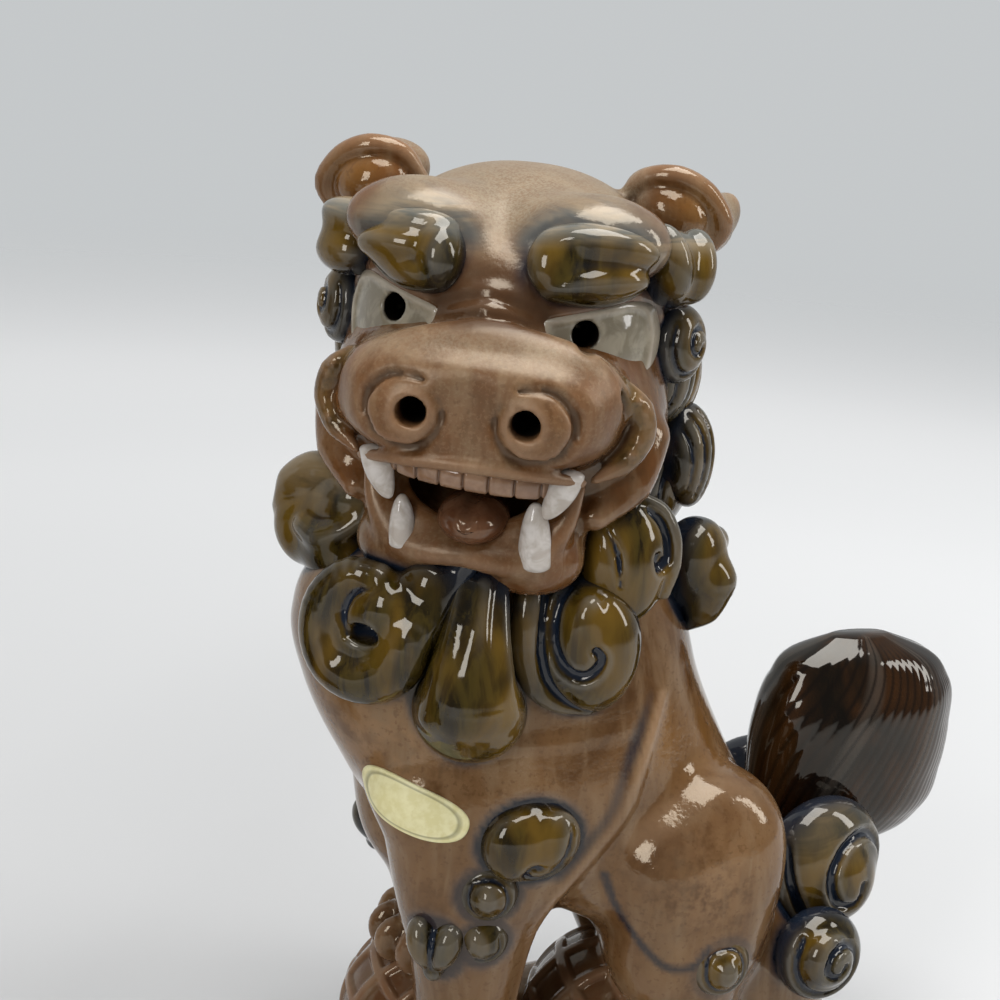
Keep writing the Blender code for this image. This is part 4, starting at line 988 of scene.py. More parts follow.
def plume_shell():
    """The tail plume: its outline at each height, combed by grooves that sweep up and round.

    The radius at angle a and height t is the outline's, less a groove of the cosine of the comb
    count times a plus a lean that grows with the height, and less a shallow wave for the locks.
    """
    t, turn = np.linspace(0.004, 0.996, 150)[:, None], around(324)
    front, back, half = (through(t, PLUME_KNOTS, side) for side in (PLUME_FRONT, PLUME_BACK, PLUME_HALF))
    c, s = np.cos(turn), np.sin(turn)
    size = (np.abs(c) ** PLUME_POWER + np.abs(s) ** PLUME_POWER) ** (-1.0 / PLUME_POWER)
    comb = 0.5 + 0.5 * np.cos(COMB_LINES * (turn + 0.9 * t * s) + 3.0 * np.sin(4.0 * t))
    locks = 0.5 + 0.5 * np.cos(PLUME_LOCKS * turn + 5.0 * t * s)
    sunk = 1.0 - 0.004 * comb ** 2 - 0.020 * locks
    x = (front + back) / 2.0 + (back - front) / 2.0 * c * size * sunk
    surface = spread(x, 0.5 + half * s * size * sunk, PLUME_FOOT + PLUME_RISE * t)
    pool = np.maximum(ramp(comb, 0.6, 1.0) * 0.7, ramp(-t, -0.12, -0.02))
    thin = ramp(1.0 - locks, 0.8, 1.0)
    return ring_shell(surface, {"pool": (pool, (1.0, 0.0)), "thin": (thin, (0.0, 0.0))})


def laid_on(clay, points, way, lift):
    """Points moved against a direction until they meet the clay, then lifted off it by a little."""
    way = np.array(way) / np.linalg.norm(way)
    start, step = points + 12.0 * way, 0.5
    steps = np.arange(0.0, 24.0, step)
    trial = start[None] - steps[:, None, None] * way
    values = clay.sample(clay.field, trial.reshape(-1, 3)).reshape(len(steps), -1)
    first = np.maximum(np.argmax(values < 0.0, axis=0), 1)
    each = np.arange(len(points))
    before, after = values[first - 1, each], values[first, each]
    depth = steps[first - 1] + step * before / np.maximum(before - after, 1e-6)
    return start + (lift - depth)[:, None] * way


def label_shell():
    """The blank label: a thin oval plate laid on the leg's outer face, marked with its border line.

    Its rings are power means of cosine and sine, and it follows the clay under it.
    """
    rings, columns = 26, 120
    turn = around(columns)
    r = np.concatenate((np.linspace(0.02, 1.0, rings), np.linspace(1.0, 0.02, rings)))[:, None]
    size = (np.abs(np.cos(turn)) ** LABEL_POWER + np.abs(np.sin(turn)) ** LABEL_POWER) ** (-1.0 / LABEL_POWER)
    wide = (LABEL_HALF[0] * r * size * np.cos(turn)).ravel()
    high = (LABEL_HALF[1] * r * size * np.sin(turn)).ravel()
    right, up, way = facing_axes(LABEL_WAY).T
    c, n = math.cos(math.radians(LABEL_TILT)), math.sin(math.radians(LABEL_TILT))
    flat = np.array(LABEL_AT) + (wide * c - high * n)[:, None] * right + (wide * n + high * c)[:, None] * up
    lift = np.repeat((0.42, -0.25), rings * columns)
    laid = laid_on(shape_body(1.2), flat, way, lift).reshape(2 * rings, columns, 3)
    return ring_shell(laid, {"pool": (np.exp(-((r - 0.86) / 0.022) ** 2), (0.0, 0.0))})


# Glazes.

class Graph:
    """Builds a material's nodes: every method adds one node and gives its output."""

    def __init__(self, name):
        self.material = bpy.data.materials.new(name)
        self.material.use_nodes = True
        self.tree = self.material.node_tree
        self.shader = self.tree.nodes["Principled BSDF"]
        self.place = self.add("ShaderNodeTexCoord").outputs["Object"]

    def add(self, kind, **values):
        node = self.tree.nodes.new(kind)
        for key, value in values.items():
            setattr(node, key, value)
        return node

    def feed(self, value, socket):
        if isinstance(value, bpy.types.NodeSocket):
            self.tree.links.new(value, socket)
        elif value is not None:
            socket.default_value = value

    def mark(self, name):
        return self.add("ShaderNodeAttribute", attribute_name=name).outputs["Fac"]

    def noise(self, scale, detail=3.0, rough=0.55, warp=0.0, stretch=None):
        place = self.place
        if stretch is not None:
            mapping = self.add("ShaderNodeMapping")
            self.feed(place, mapping.inputs["Vector"])
            mapping.inputs["Scale"].default_value = stretch
            place = mapping.outputs["Vector"]
        node = self.add("ShaderNodeTexNoise")
        self.feed(place, node.inputs["Vector"])
        node.inputs["Scale"].default_value = scale
        node.inputs["Detail"].default_value = detail
        node.inputs["Roughness"].default_value = rough
        node.inputs["Distortion"].default_value = warp
        return node.outputs["Fac"]

    def span(self, value, low, high, to_low=0.0, to_high=1.0):
        node = self.add("ShaderNodeMapRange", interpolation_type="SMOOTHSTEP")
        self.feed(value, node.inputs["Value"])
        for key, number in (("From Min", low), ("From Max", high), ("To Min", to_low), ("To Max", to_high)):
            node.inputs[key].default_value = number
        return node.outputs["Result"]

    def math(self, operation, a, b=None):
        node = self.add("ShaderNodeMath", operation=operation, use_clamp=True)
        self.feed(a, node.inputs[0])
        self.feed(b, node.inputs[1])
        return node.outputs[0]

    def mix(self, share, a, b):
        node = self.add("ShaderNodeMix", data_type="RGBA")
        self.feed(share, node.inputs["Factor"])
        for value, socket in ((a, node.inputs["A"]), (b, node.inputs["B"])):
            self.feed(value if isinstance(value, bpy.types.NodeSocket) else tuple(value) + (1.0,), socket)
        return node.outputs["Result"]

    def blend(self, share, a, b):
        node = self.add("ShaderNodeMix", data_type="FLOAT")
        for value, socket in ((share, node.inputs["Factor"]), (a, node.inputs["A"]), (b, node.inputs["B"])):
            self.feed(value, socket)
        return node.outputs["Result"]

    def times(self, a, b):
        return self.math("MULTIPLY", a, b)

    def over(self, colour, where, share, paint):
        """A paint over a colour, by a share of a mark or of a value."""
        value = self.mark(where) if isinstance(where, str) else where
        return self.mix(value if share == 1.0 else self.times(value, share), colour, paint)

    def crown(self, colour):
        """Grey and tan bands of thin glaze over a colour, where the crown mark is set."""
        bands = self.span(self.noise(75.0, 3.0, 0.6, 1.2, (0.5, 0.5, 2.6)), 0.38, 0.60)
        return self.over(colour, "crown", 0.92, self.mix(bands, CROWN_GREY, CROWN_TAN))

    def finish(self, colour, rough, gloss, bump, height, tint):
        self.feed(colour, self.shader.inputs["Base Color"])
        self.feed(rough, self.shader.inputs["Roughness"])
        self.shader.inputs["Specular IOR Level"].default_value = gloss
        self.shader.inputs["Specular Tint"].default_value = tint + (1.0,)
        node = self.add("ShaderNodeBump")
        node.inputs["Strength"].default_value = 1.0
        node.inputs["Distance"].default_value = height
        self.feed(bump, node.inputs["Height"])
        self.feed(node.outputs["Normal"], self.shader.inputs["Normal"])
        return self.material


NAVY = (0.008, 0.013, 0.024)
SLATE = (0.070, 0.088, 0.110)
CROWN_GREY = (0.105, 0.105, 0.092)
CROWN_TAN = (0.260, 0.205, 0.135)
AMBER_RUN = (0.190, 0.084, 0.016)
TAN_PATCH = (0.250, 0.140, 0.065)
PALE_FLECK = (0.300, 0.205, 0.120)
GOLD_SPARK = (0.250, 0.205, 0.140)
OLIVE_DEEP = (0.035, 0.022, 0.006)
OLIVE_THIN = (0.105, 0.060, 0.018)
THIN_BROWN = (0.280, 0.165, 0.095)
# tan glaze on the leg ridges, also used as a painted highlight along the thigh ridges
RIDGE_TAN_AND_HIGHLIGHT = (0.300, 0.190, 0.110)
POOLED_BROWN = (0.055, 0.027, 0.013)
THIN_GREY = (0.150, 0.140, 0.120)
# near-black painted shade in holes: the nostrils, the pupils and the open mouth
PAINTED_HOLE_SHADE = (0.006, 0.004, 0.003)
PAINTED_PUPIL_SHADE = (0.010, 0.007, 0.005)
PAPER = ((0.700, 0.640, 0.330), (0.780, 0.730, 0.430))
PAPER_LINE = (0.060, 0.055, 0.025)
BROWN_TINT = (1.0, 0.88, 0.70)
CURL_TINT = (1.0, 0.95, 0.86)
NO_TINT = (1.0, 1.0, 1.0)


def brown_glaze(name, deep, mid, pale):
    """Iron-brown glaze: streaky and mottled, tan where it is thin, navy where it pools; painted shade in navy
    behind the leg ridges and near black in holes, and a painted highlight in tan along the thigh ridges.
    """
    g = Graph(name)
    cloud = g.span(g.noise(38.0, 4.0, 0.6, 0.6), 0.32, 0.68)
    fine = g.span(g.noise(420.0, 2.0, 0.6), 0.35, 0.65)
    runs = g.span(g.noise(60.0, 3.0, 0.6, 0.4, (3.0, 3.0, 0.55)), 0.40, 0.70)
    colour = g.mix(cloud, deep, mid)
    colour = g.over(colour, runs, 0.55, pale)
    colour = g.over(colour, fine, 0.28, mid)
    colour = g.over(colour, "amber", 0.85, AMBER_RUN)
    tan = g.times(g.mark("tan"), g.span(g.noise(210.0, 3.0, 0.65), 0.36, 0.60))
    colour = g.over(colour, tan, 0.75, TAN_PATCH)
    specks = g.span(g.noise(760.0, 2.0, 0.6), 0.56, 0.68)
    colour = g.over(colour, specks, 0.40, deep)
    flecks = g.times(g.mark("satin"), g.span(g.noise(1300.0, 2.0, 0.6), 0.50, 0.64))
    colour = g.over(colour, flecks, 0.20, PALE_FLECK)
    gold = g.mark("gold")
    spark = g.times(gold, g.span(g.noise(1900.0, 2.0, 0.7), 0.36, 0.62, 0.45, 1.0))
    colour = g.over(colour, spark, 0.74, GOLD_SPARK)
    olive = g.mix(g.span(g.noise(260.0, 3.0, 0.6), 0.4, 0.6), OLIVE_DEEP, OLIVE_THIN)
    # olive cheeks, tan where thin, and tan on ridges, which on the thighs is a painted highlight
    for where, share, paint in (("olive", 1.0, olive), ("thin", 0.40, THIN_BROWN), ("ridge", 0.7, RIDGE_TAN_AND_HIGHLIGHT)):
        colour = g.over(colour, where, share, paint)
    colour = g.crown(colour)
    # slate and pooled glaze; navy glaze, which on the body also holds painted shade behind the leg ridges;
    # near-black painted shade in holes
    for where, share, paint in (("slate", 1.0, SLATE), ("pool", 0.85, POOLED_BROWN), ("navy", 1.0, NAVY),
                                ("dark", 1.0, PAINTED_HOLE_SHADE)):
        colour = g.over(colour, where, share, paint)
    peel = g.math("ADD", g.times(g.noise(150.0, 2.0), 0.6), g.times(g.noise(900.0, 2.0), 0.4))
    rough = g.blend(g.math("MAXIMUM", gold, g.mark("satin")), 0.09, 0.46)
    return g.finish(colour, rough, 0.50, peel, 0.00012, BROWN_TINT)


def curl_glaze(name, dark, olive, amber, pooled=NAVY, thin_share=0.40):
    """Dark olive glaze: amber-brown streaks on the swelling parts, navy in the lines, grey on edges."""
    g = Graph(name)
    runs = g.span(g.noise(120.0, 3.0, 0.6, 0.7, (2.8, 2.8, 0.5)), 0.38, 0.64)
    cloud = g.span(g.noise(48.0, 2.0, 0.5, 0.9, (1.3, 1.3, 0.7)), 0.36, 0.66)
    colour = g.mix(runs, dark, olive)
    for where, share, paint in ((cloud, 0.82, amber), ("deep", 0.80, dark), ("thin", thin_share, THIN_GREY)):
        colour = g.over(colour, where, share, paint)
    colour = g.over(g.crown(colour), "pool", 1.0, pooled)
    return g.finish(colour, 0.06, 0.45, g.noise(170.0, 2.0), 0.00008, CURL_TINT)


def pale_glaze(name, body, cloudy, edge):
    """Whitish glaze for eyes and teeth: faint clouds, brown where it thins at the edges, and painted shade in
    the pupil holes.
    """
    g = Graph(name)
    colour = g.mix(g.span(g.noise(230.0, 3.0, 0.6, 0.5), 0.38, 0.66), body, cloudy)
    colour = g.over(colour, "pool", 0.85, edge)
    # painted shade in the pupil's hole
    colour = g.over(colour, "dark", 1.0, PAINTED_PUPIL_SHADE)
    return g.finish(colour, 0.10, 0.5, g.noise(240.0, 2.0), 0.00006, NO_TINT)


def label_paper(name):
    """Pale yellow paper with a printed border line and nothing in it."""
    g = Graph(name)
    colour = g.mix(g.span(g.noise(500.0, 3.0), 0.35, 0.65), *PAPER)
    colour = g.over(colour, "pool", 1.0, PAPER_LINE)
    return g.finish(colour, 0.36, 0.3, g.noise(900.0, 2.0), 0.00003, NO_TINT)


# Skins of the body and the head.

def blot(points, centre, radii):
    """A soft patch: exp of minus the squared distance in radii from its centre."""
    return np.exp(-(((points - np.array(centre)) / np.array(radii)) ** 2).sum(axis=1))


def by_line(points, line, width):
    """1 on a smooth line, falling to 0 at the given distance from it."""
    d = strand(*points.T, path(line, 24), np.zeros(24))
    return 1.0 - ramp(d, 0.3 * width, width)


# patches of glaze on the body, as mark, strength, middle and radii
BODY_PATCHES = (
    ("tan", 1.0, (23.0, -36.0, 80.0), (10.0, 10.0, 13.0)),
    ("tan", 0.8, (-38.0, -24.0, 108.0), (14.0, 14.0, 12.0)),
    ("brown", 0.6, (14.0, -36.0, 87.0), (10.0, 12.0, 9.0)),
    ("brown", 0.5, (30.0, -28.0, 96.0), (12.0, 12.0, 10.0)),
    ("amber", 1.0, (28.0, -26.0, 104.0), (6.0, 10.0, 6.0)),
    ("amber", 0.8, (16.0, -28.0, 108.0), (5.0, 8.0, 9.0)),
)
CHEST_PATCH = ((-50.0, -12.0, 100.0), (14.0, 20.0, 20.0))
SLATE_SHARE = 0.35        # strength of the slate glaze round a curl


def body_shell(cell):
    """The trunk with the legs, marked for the glaze round every curl, in creases and on ridges, for painted
    shade behind the leg ridges and a painted highlight along the thigh ridges.
    """
    clay = shape_body(cell)
    points, quads, triangles, marks = clay_shell(clay, (0.10, 0.50), (0.16, 0.5))
    large = tuple(curl for _, curl in COLLAR) + (TAIL_CURL, across(TAIL_CURL)) + BODY_LOCKS
    small = LEG_CURLS + THIGH_CURLS
    small = small + tuple(across(c) for c in small)
    navy = np.max([near(points, c, 1.5) for c in large] + [near(points, c, 1.0) for c in small], axis=0)
    marks["slate"] = SLATE_SHARE * np.max([near(points, c, 2.4) for c in large + small], axis=0)
    ridge, shade = 0.0, 0.0
    patches = {"tan": 0.0, "amber": 0.0, "brown": 0.0}
    under = laid_on(clay, np.array(THIGH_CREASE), np.array((0.0, -1.0, 0.0)), np.zeros(len(THIGH_CREASE)))
    for side in (1.0, -1.0):
        line = [on_side((x, y - 0.6, z), side, 1) for x, y, z in LEG_RIDGE]
        ridge = np.maximum(ridge, by_line(points, line, 1.8))
        # painted shade: a dark strip just behind each leg ridge, laid into the navy mark
        behind = [on_side((x - 3.6, y - 0.5, z), side, 1) for x, y, z in LEG_RIDGE[:6]]
        shade = np.maximum(shade, by_line(points, behind, 2.6))
        # painted highlight: a tan line along the thigh ridge, laid into the ridge mark
        ridge = np.maximum(ridge, 0.6 * by_line(points, [on_side(p, side, 1) for p in THIGH_RIDGE], 4.5))
        navy = np.maximum(navy, 0.85 * by_line(points, [on_side(p, side, 1) for p in under], 1.5))
        for key, strength, centre, radii in BODY_PATCHES:
            patches[key] = patches[key] + strength * blot(points, on_side(centre, side, 1), radii)
    marks["ridge"], marks["amber"] = ridge, np.clip(patches["amber"], 0.0, 1.0)
    # the navy mark: navy glaze round curls and in creases, and painted shade behind the leg ridges
    marks["navy"] = np.maximum(navy, 0.8 * shade)
    marks["pool"] = np.maximum(marks["pool"], np.clip(patches["brown"], 0.0, 0.7))
    marks["tan"] = np.clip(np.clip(patches["tan"], 0.0, 1.0) + 0.5 * blot(points, *CHEST_PATCH), 0.0, 1.0)
    return points, quads, triangles, marks


CHEEK_OLIVE = ((25.6, 30.2, 6.0), (29.6, 29.0, 2.6), (31.2, 27.5, -2.6), (28.2, 29.5, -8.0))
NOSTRIL_PATCH = ((12.0, 43.0, -0.6), (5.5, 5.0, 5.5))
EAR_PATCH = ((36.0, -3.0, 36.0), (6.0, 9.0, 5.0))
BROW_POOL = ((5.2, 27.0, 26.0), (1.5, 4.0, 4.2))


def both_blots(points, centre, radii):
    """A soft patch on either side of the face."""
    return blot(points, centre, radii) + blot(points, on_side(centre, -1.0, 0), radii)


def head_shell(cell, mouth_open):
    """A head with its jaw and ears, marked for gold on top, olive cheeks, dark brown with painted brow shadow
    over the bridge, and painted shade in the nostrils, the pupil holes and the open mouth.
    """
    clay = shape_head(cell, mouth_open)
    points, quads, triangles, marks = clay_shell(clay, (0.12, 0.65), (0.2, 0.6), from_head)
    head = to_head(points)
    u, v, w = head.T
    aside = np.abs(u)
    dome = ramp(w, 22.0, 34.0) * ramp(v, -34.0, -10.0)
    roll = ramp(w, 7.0, 11.5) * ramp(v, 24.0, 30.0) * (1.0 - ramp(w, 15.5, 18.0))
    gold = np.maximum(dome * (1.0 - ramp(aside, 20.0, 26.0) * ramp(v, -14.0, -8.0)), 0.5 * roll)
    olive = [by_line(head, [on_side(p, side, 0) for p in CHEEK_OLIVE], 4.6) for side in (1.0, -1.0)]
    marks["olive"] = np.max(olive, axis=0) * 0.85
    forehead = 0.35 * ramp(w, 15.0, 21.0) * (1.0 - ramp(aside, 9.0, 15.0))
    marks["satin"] = np.maximum(0.75 * ramp(v, 30.0, 36.0), forehead)
    marks["tan"] = 0.6 * both_blots(head, *NOSTRIL_PATCH)
    # dark brown over the bridge between the brows: partly the glaze's own brown, partly painted shadow cast
    # by the brows; it goes into the pool mark and keeps the gold off
    bridge_brown_and_shade = ramp(v, 18.0, 24.0) * ramp(w, 13.0, 16.0) * (1.0 - ramp(w, 23.0, 30.0))
    bridge_brown_and_shade = bridge_brown_and_shade * (1.0 - ramp(aside, 10.0, 15.0))
    marks["pool"] = np.maximum(marks["pool"], bridge_brown_and_shade)
    marks["amber"] = 0.75 * np.clip(both_blots(head, *EAR_PATCH), 0.0, 1.0)
    brows = tuple(curl for _, curl in BROWS)
    curls = brows + (TEMPLE, across(TEMPLE)) + tuple(curl for _, curl in COLLAR) + SIDE_LOCKS
    navy = np.max([near(points, c, 1.0) for c in curls], axis=0)
    marks["slate"] = SLATE_SHARE * np.max([near(points, c, 2.6) for c in curls], axis=0)
    over = np.max([near(points, dict(c, line=1.0), 5.0) for c in brows], axis=0) * ramp(w, 24.0, 30.0)
    marks["crown"] = over
    marks["gold"] = gold * (1.0 - bridge_brown_and_shade) * (1.0 - 0.9 * over)
    navy = np.maximum(navy, 0.9 * blot(head, *BROW_POOL))
    marks["navy"] = np.maximum(navy, by_line(head, CHIN_LINE, 2.5))
    # the dark mark: painted shade deep in the nostrils, the pupil holes and the open mouth
    dark = np.zeros(len(points))
    for side in (1.0, -1.0):
        x, y, z = NOSTRIL_AT
        deep = 1.0 - ramp(np.hypot(u - side * x, w - z - 0.04 * (y - v)), NOSTRIL_R - 0.1, NOSTRIL_R + 0.9)
        dark = np.maximum(dark, deep * ramp(-v, -41.6, -40.0) * ramp(v, 24.0, 27.0))
        deep = ramp(-strand(u, v, w, pupil_line(side), (PUPIL_R, PUPIL_R)), -0.8, 0.0)
        dark = np.maximum(dark, deep * ramp(-v, -24.0, -22.0) * ramp(v, 6.0, 9.0))
    if mouth_open:
        inside = ramp(-ball(u, v, w, *MOUTH), -0.6, 0.6)
        dark = np.maximum(dark, 0.92 * inside * ramp(-v, -31.0, -24.0) * ramp(w, -23.0, -18.0))
    marks["dark"] = dark
    return points, quads, triangles, marks


# The add-on.

class LionDogSettings(bpy.types.PropertyGroup):
    """Sizes and colours of the pair that a user may want to change."""

    fine: bpy.props.FloatProperty(
        name="Body grain", description="Spacing of the grid on which the bodies are modelled",
        default=1.034 * MM, min=0.5 * MM, max=4.0 * MM, unit="LENGTH", precision=5)
    head_fine: bpy.props.FloatProperty(
        name="Head grain", description="Spacing of the grid on which the heads are modelled",
        default=0.68 * MM, min=0.4 * MM, max=4.0 * MM, unit="LENGTH", precision=5)
    curl_fine: bpy.props.FloatProperty(
        name="Curl grain", description="Spacing of the grid on which the curls are modelled",
        default=0.552 * MM, min=0.2 * MM, max=4.0 * MM, unit="LENGTH", precision=5)
    clay_deep: bpy.props.FloatVectorProperty(
        name="Deep brown", description="Brown glaze where it lies thick",
        default=(0.082, 0.036, 0.012), min=0.0, max=1.0, subtype="COLOR")
    clay_mid: bpy.props.FloatVectorProperty(
        name="Middle brown", description="Brown glaze over most of the body",
        default=(0.162, 0.084, 0.034), min=0.0, max=1.0, subtype="COLOR")
    clay_pale: bpy.props.FloatVectorProperty(
        name="Pale brown", description="Runs where the brown glaze is thin",
        default=(0.240, 0.158, 0.088), min=0.0, max=1.0, subtype="COLOR")
    face_mid: bpy.props.FloatVectorProperty(
        name="Face brown", description="Brown glaze of the face",
        default=(0.136, 0.052, 0.015), min=0.0, max=1.0, subtype="COLOR")
    curl_dark: bpy.props.FloatVectorProperty(
        name="Dark olive", description="Curl glaze where it lies thick",
        default=(0.006, 0.004, 0.001), min=0.0, max=1.0, subtype="COLOR")
    curl_olive: bpy.props.FloatVectorProperty(
        name="Olive", description="Curl glaze over most of a curl",
        default=(0.044, 0.030, 0.005), min=0.0, max=1.0, subtype="COLOR")
    curl_amber: bpy.props.FloatVectorProperty(
        name="Amber", description="Runs in the curl glaze",
        default=(0.130, 0.072, 0.009), min=0.0, max=1.0, subtype="COLOR")
    floor_white: bpy.props.FloatProperty(
        name="Floor", description="How pale the floor is",
        default=0.78, min=0.0, max=1.0, subtype="FACTOR")
    lamp_power: bpy.props.FloatProperty(
        name="Lamps", description="Power of which each of the three lamps has its share",
        default=8.5, min=0.0, max=500.0, unit="POWER")


def settings():
    """The scene's settings of the pair."""
    return bpy.context.scene.lion_dogs


def grain(value):
    return value / MM * 1.0


BALL_DEEP = (0.150, 0.060, 0.028)
TONGUE_BROWNS = ((0.080, 0.030, 0.013), (0.130, 0.056, 0.027), (0.200, 0.110, 0.062))
PLUME_DARKS = ((0.003, 0.0018, 0.0008), (0.008, 0.004, 0.0015), (0.032, 0.012, 0.003),
               (0.003, 0.0015, 0.0008))
WHITES = {
    "eye_white": ((0.200, 0.172, 0.122), (0.310, 0.275, 0.205), (0.420, 0.360, 0.280)),
    "fang_white": ((0.400, 0.350, 0.300), (0.560, 0.520, 0.480), (0.200, 0.110, 0.060)),
    "tooth_tan": ((0.200, 0.110, 0.062), (0.270, 0.165, 0.100), (0.070, 0.032, 0.016)),
}


def finish_of(key):
    """The glaze of that name, made on first use."""
    if key in bpy.data.materials:
        return bpy.data.materials[key]
    s = settings()
    deep, mid, pale = tuple(s.clay_deep), tuple(s.clay_mid), tuple(s.clay_pale)
    browns = {"body_brown": (deep, mid, pale), "face_brown": (deep, tuple(s.face_mid), pale),
              "ball_brown": (BALL_DEEP, mid, pale), "tongue_brown": TONGUE_BROWNS}
    if key in browns:
        return brown_glaze(key, *browns[key])
    if key in WHITES:
        return pale_glaze(key, *WHITES[key])
    if key == "curl_olive":
        return curl_glaze(key, tuple(s.curl_dark), tuple(s.curl_olive), tuple(s.curl_amber))
    if key == "plume_dark":
        return curl_glaze(key, *PLUME_DARKS, thin_share=0.15)
    return label_paper(key)


def both_dogs(word, shell, finish, slot, *nodes, only=None):
    """The same shell on both dogs, or on one of them only, standing for the named nodes."""
    for prefix, side, body in DOGS:
        if only in (None, prefix):
            names = ["%s_%s" % (prefix, node) for node in nodes]
            make_piece("%s_%s" % (prefix, word), shell, side, body, finish_of(finish), names)


def make_curls(word, curls, *nodes):
    """The given curls as one olive piece on both dogs."""
    shell = join_shells([curl_shell(grain(settings().curl_fine), curl) for curl in curls])
    both_dogs(word, shell, "curl_olive", "curl_glaze", *nodes)


class LIONDOG_OT_bodies(bpy.types.Operator):
    """Make the glazed skins of the bodies with their legs"""

    bl_idname = "liondog.bodies"
    bl_label = "Bodies"

    def execute(self, context):
        shell = body_shell(grain(settings().fine))
        both_dogs("body_skin", shell, "body_brown", "body_glaze", "torso", "foreleg_left", "foreleg_right",
                  "haunch_left", "haunch_right")
        return {"FINISHED"}


class LIONDOG_OT_heads(bpy.types.Operator):
    """Make the glazed skins of the heads, one with its mouth open and one with it shut"""

    bl_idname = "liondog.heads"
    bl_label = "Heads"

    def execute(self, context):
        for prefix, _, _ in DOGS:
            shell = head_shell(grain(settings().head_fine), prefix == "open")
            both_dogs("head_skin", shell, "face_brown", "face_glaze", "head", "lower_jaw", "ear_left",
                      "ear_right", only=prefix)
        return {"FINISHED"}


class LIONDOG_OT_eyes(bpy.types.Operator):
    """Make the eye inlays"""

    bl_idname = "liondog.eyes"
    bl_label = "Eyes"

    def execute(self, context):
        for word, side in (("left", 1.0), ("right", -1.0)):
            shell = eye_shell(grain(settings().curl_fine), side)
            both_dogs("eye_%s_inlay" % word, shell, "eye_white", "white_glaze", "eye_" + word)
        return {"FINISHED"}


class LIONDOG_OT_brows(bpy.types.Operator):
    """Make the brow curls over the eyes and at the temples"""

    bl_idname = "liondog.brows"
    bl_label = "Brows"

    def execute(self, context):
        for node, curl in BROWS:
            make_curls(node + "_curl", [curl], node)
        return {"FINISHED"}


class LIONDOG_OT_mouth(bpy.types.Operator):
    """Make the tongue, the strip of upper teeth and the fangs of the open mouth"""

    bl_idname = "liondog.mouth"
    bl_label = "Mouth"

    def execute(self, context):
        both_dogs("tongue_lump", tongue_shell(), "tongue_brown", "tongue_glaze", "tongue", only="open")
        both_dogs("tooth_strip", tooth_strip(), "tooth_tan", "tooth_glaze", "upper_teeth", only="open")
        base, tip, radii, bow = UPPER_FANG
        fangs = [tooth(on_side(base, s, 0), on_side(tip, s, 0), radii, s * bow) for s in (-1.0, 1.0)]
        both_dogs("upper_fangs", join_shells(fangs), "fang_white", "white_glaze", only="open")
        for word, base, tip, radii in LOWER_FANGS:
            fang = tooth(base, tip, radii)
            both_dogs("lower_fang_%s_tooth" % word, fang, "fang_white", "white_glaze", "lower_fang_" + word,
                      only="open")
        return {"FINISHED"}


class LIONDOG_OT_collar(bpy.types.Operator):
    """Make the chin tuft and the curls round the neck"""

    bl_idname = "liondog.collar"
    bl_label = "Collar"

    def execute(self, context):
        for node, curl in COLLAR:
            make_curls(node + "_form", [curl], node)
        return {"FINISHED"}


class LIONDOG_OT_mane(bpy.types.Operator):
    """Make the locks beside and behind the head"""

    bl_idname = "liondog.mane"
    bl_label = "Mane"

    def execute(self, context):
        beside_head = (TEMPLE,) + SIDE_LOCKS
        make_curls("mane_left_locks", beside_head + BODY_LOCKS, "mane_left")
        make_curls("mane_right_locks", [across(curl) for curl in beside_head], "mane_right")
        make_curls("mane_back_locks", NAPE_CURLS, "mane_back")
        return {"FINISHED"}


class LIONDOG_OT_leg_curls(bpy.types.Operator):
    """Make the flame curls on the forelegs and the curls on the thighs"""

    bl_idname = "liondog.leg_curls"
    bl_label = "Leg curls"

    def execute(self, context):
        for word, curls in (("foreleg", LEG_CURLS), ("thigh", THIGH_CURLS)):
            make_curls(word + "_left_curls", curls)
            make_curls(word + "_right_curls", [across(curl) for curl in curls])
        return {"FINISHED"}


class LIONDOG_OT_balls(bpy.types.Operator):
    """Make the lattice balls under the forepaw and under the belly"""

    bl_idname = "liondog.balls"
    bl_label = "Balls"

    def execute(self, context):
        for node, ball_form in (("paw_ball", PAW_BALL), ("belly_ball", BELLY_BALL)):
            both_dogs(node + "_lattice", lattice_ball(*ball_form), "ball_brown", "ball_glaze", node)
        return {"FINISHED"}


class LIONDOG_OT_tail(bpy.types.Operator):
    """Make the curled root of the tail and the combed plume"""

    bl_idname = "liondog.tail"
    bl_label = "Tail"

    def execute(self, context):
        make_curls("tail_root_curls", (TAIL_CURL, across(TAIL_CURL), TAIL_KNOB), "tail_root")
        both_dogs("tail_plume_comb", plume_shell(), "plume_dark", "plume_glaze", "tail_plume")
        return {"FINISHED"}


class LIONDOG_OT_label(bpy.types.Operator):
    """Make the blank paper label on the planted foreleg"""

    bl_idname = "liondog.label"
    bl_label = "Label"

    def execute(self, context):
        both_dogs("blank_label", label_shell(), "label_yellow", "label_paper", "label", only="open")
        return {"FINISHED"}


class LIONDOG_OT_stage(bpy.types.Operator):
    """Set the floor, the softboxes and the camera"""

    bl_idname = "liondog.stage"
    bl_label = "Stage"

    def execute(self, context):
        make_floor()
        make_lights()
        make_camera()
        return {"FINISHED"}


FLOOR_R = 2.4
FLOOR_CORNERS = 96
FLOOR_DROP = 0.0002       # under the soles, so that the two don't flicker


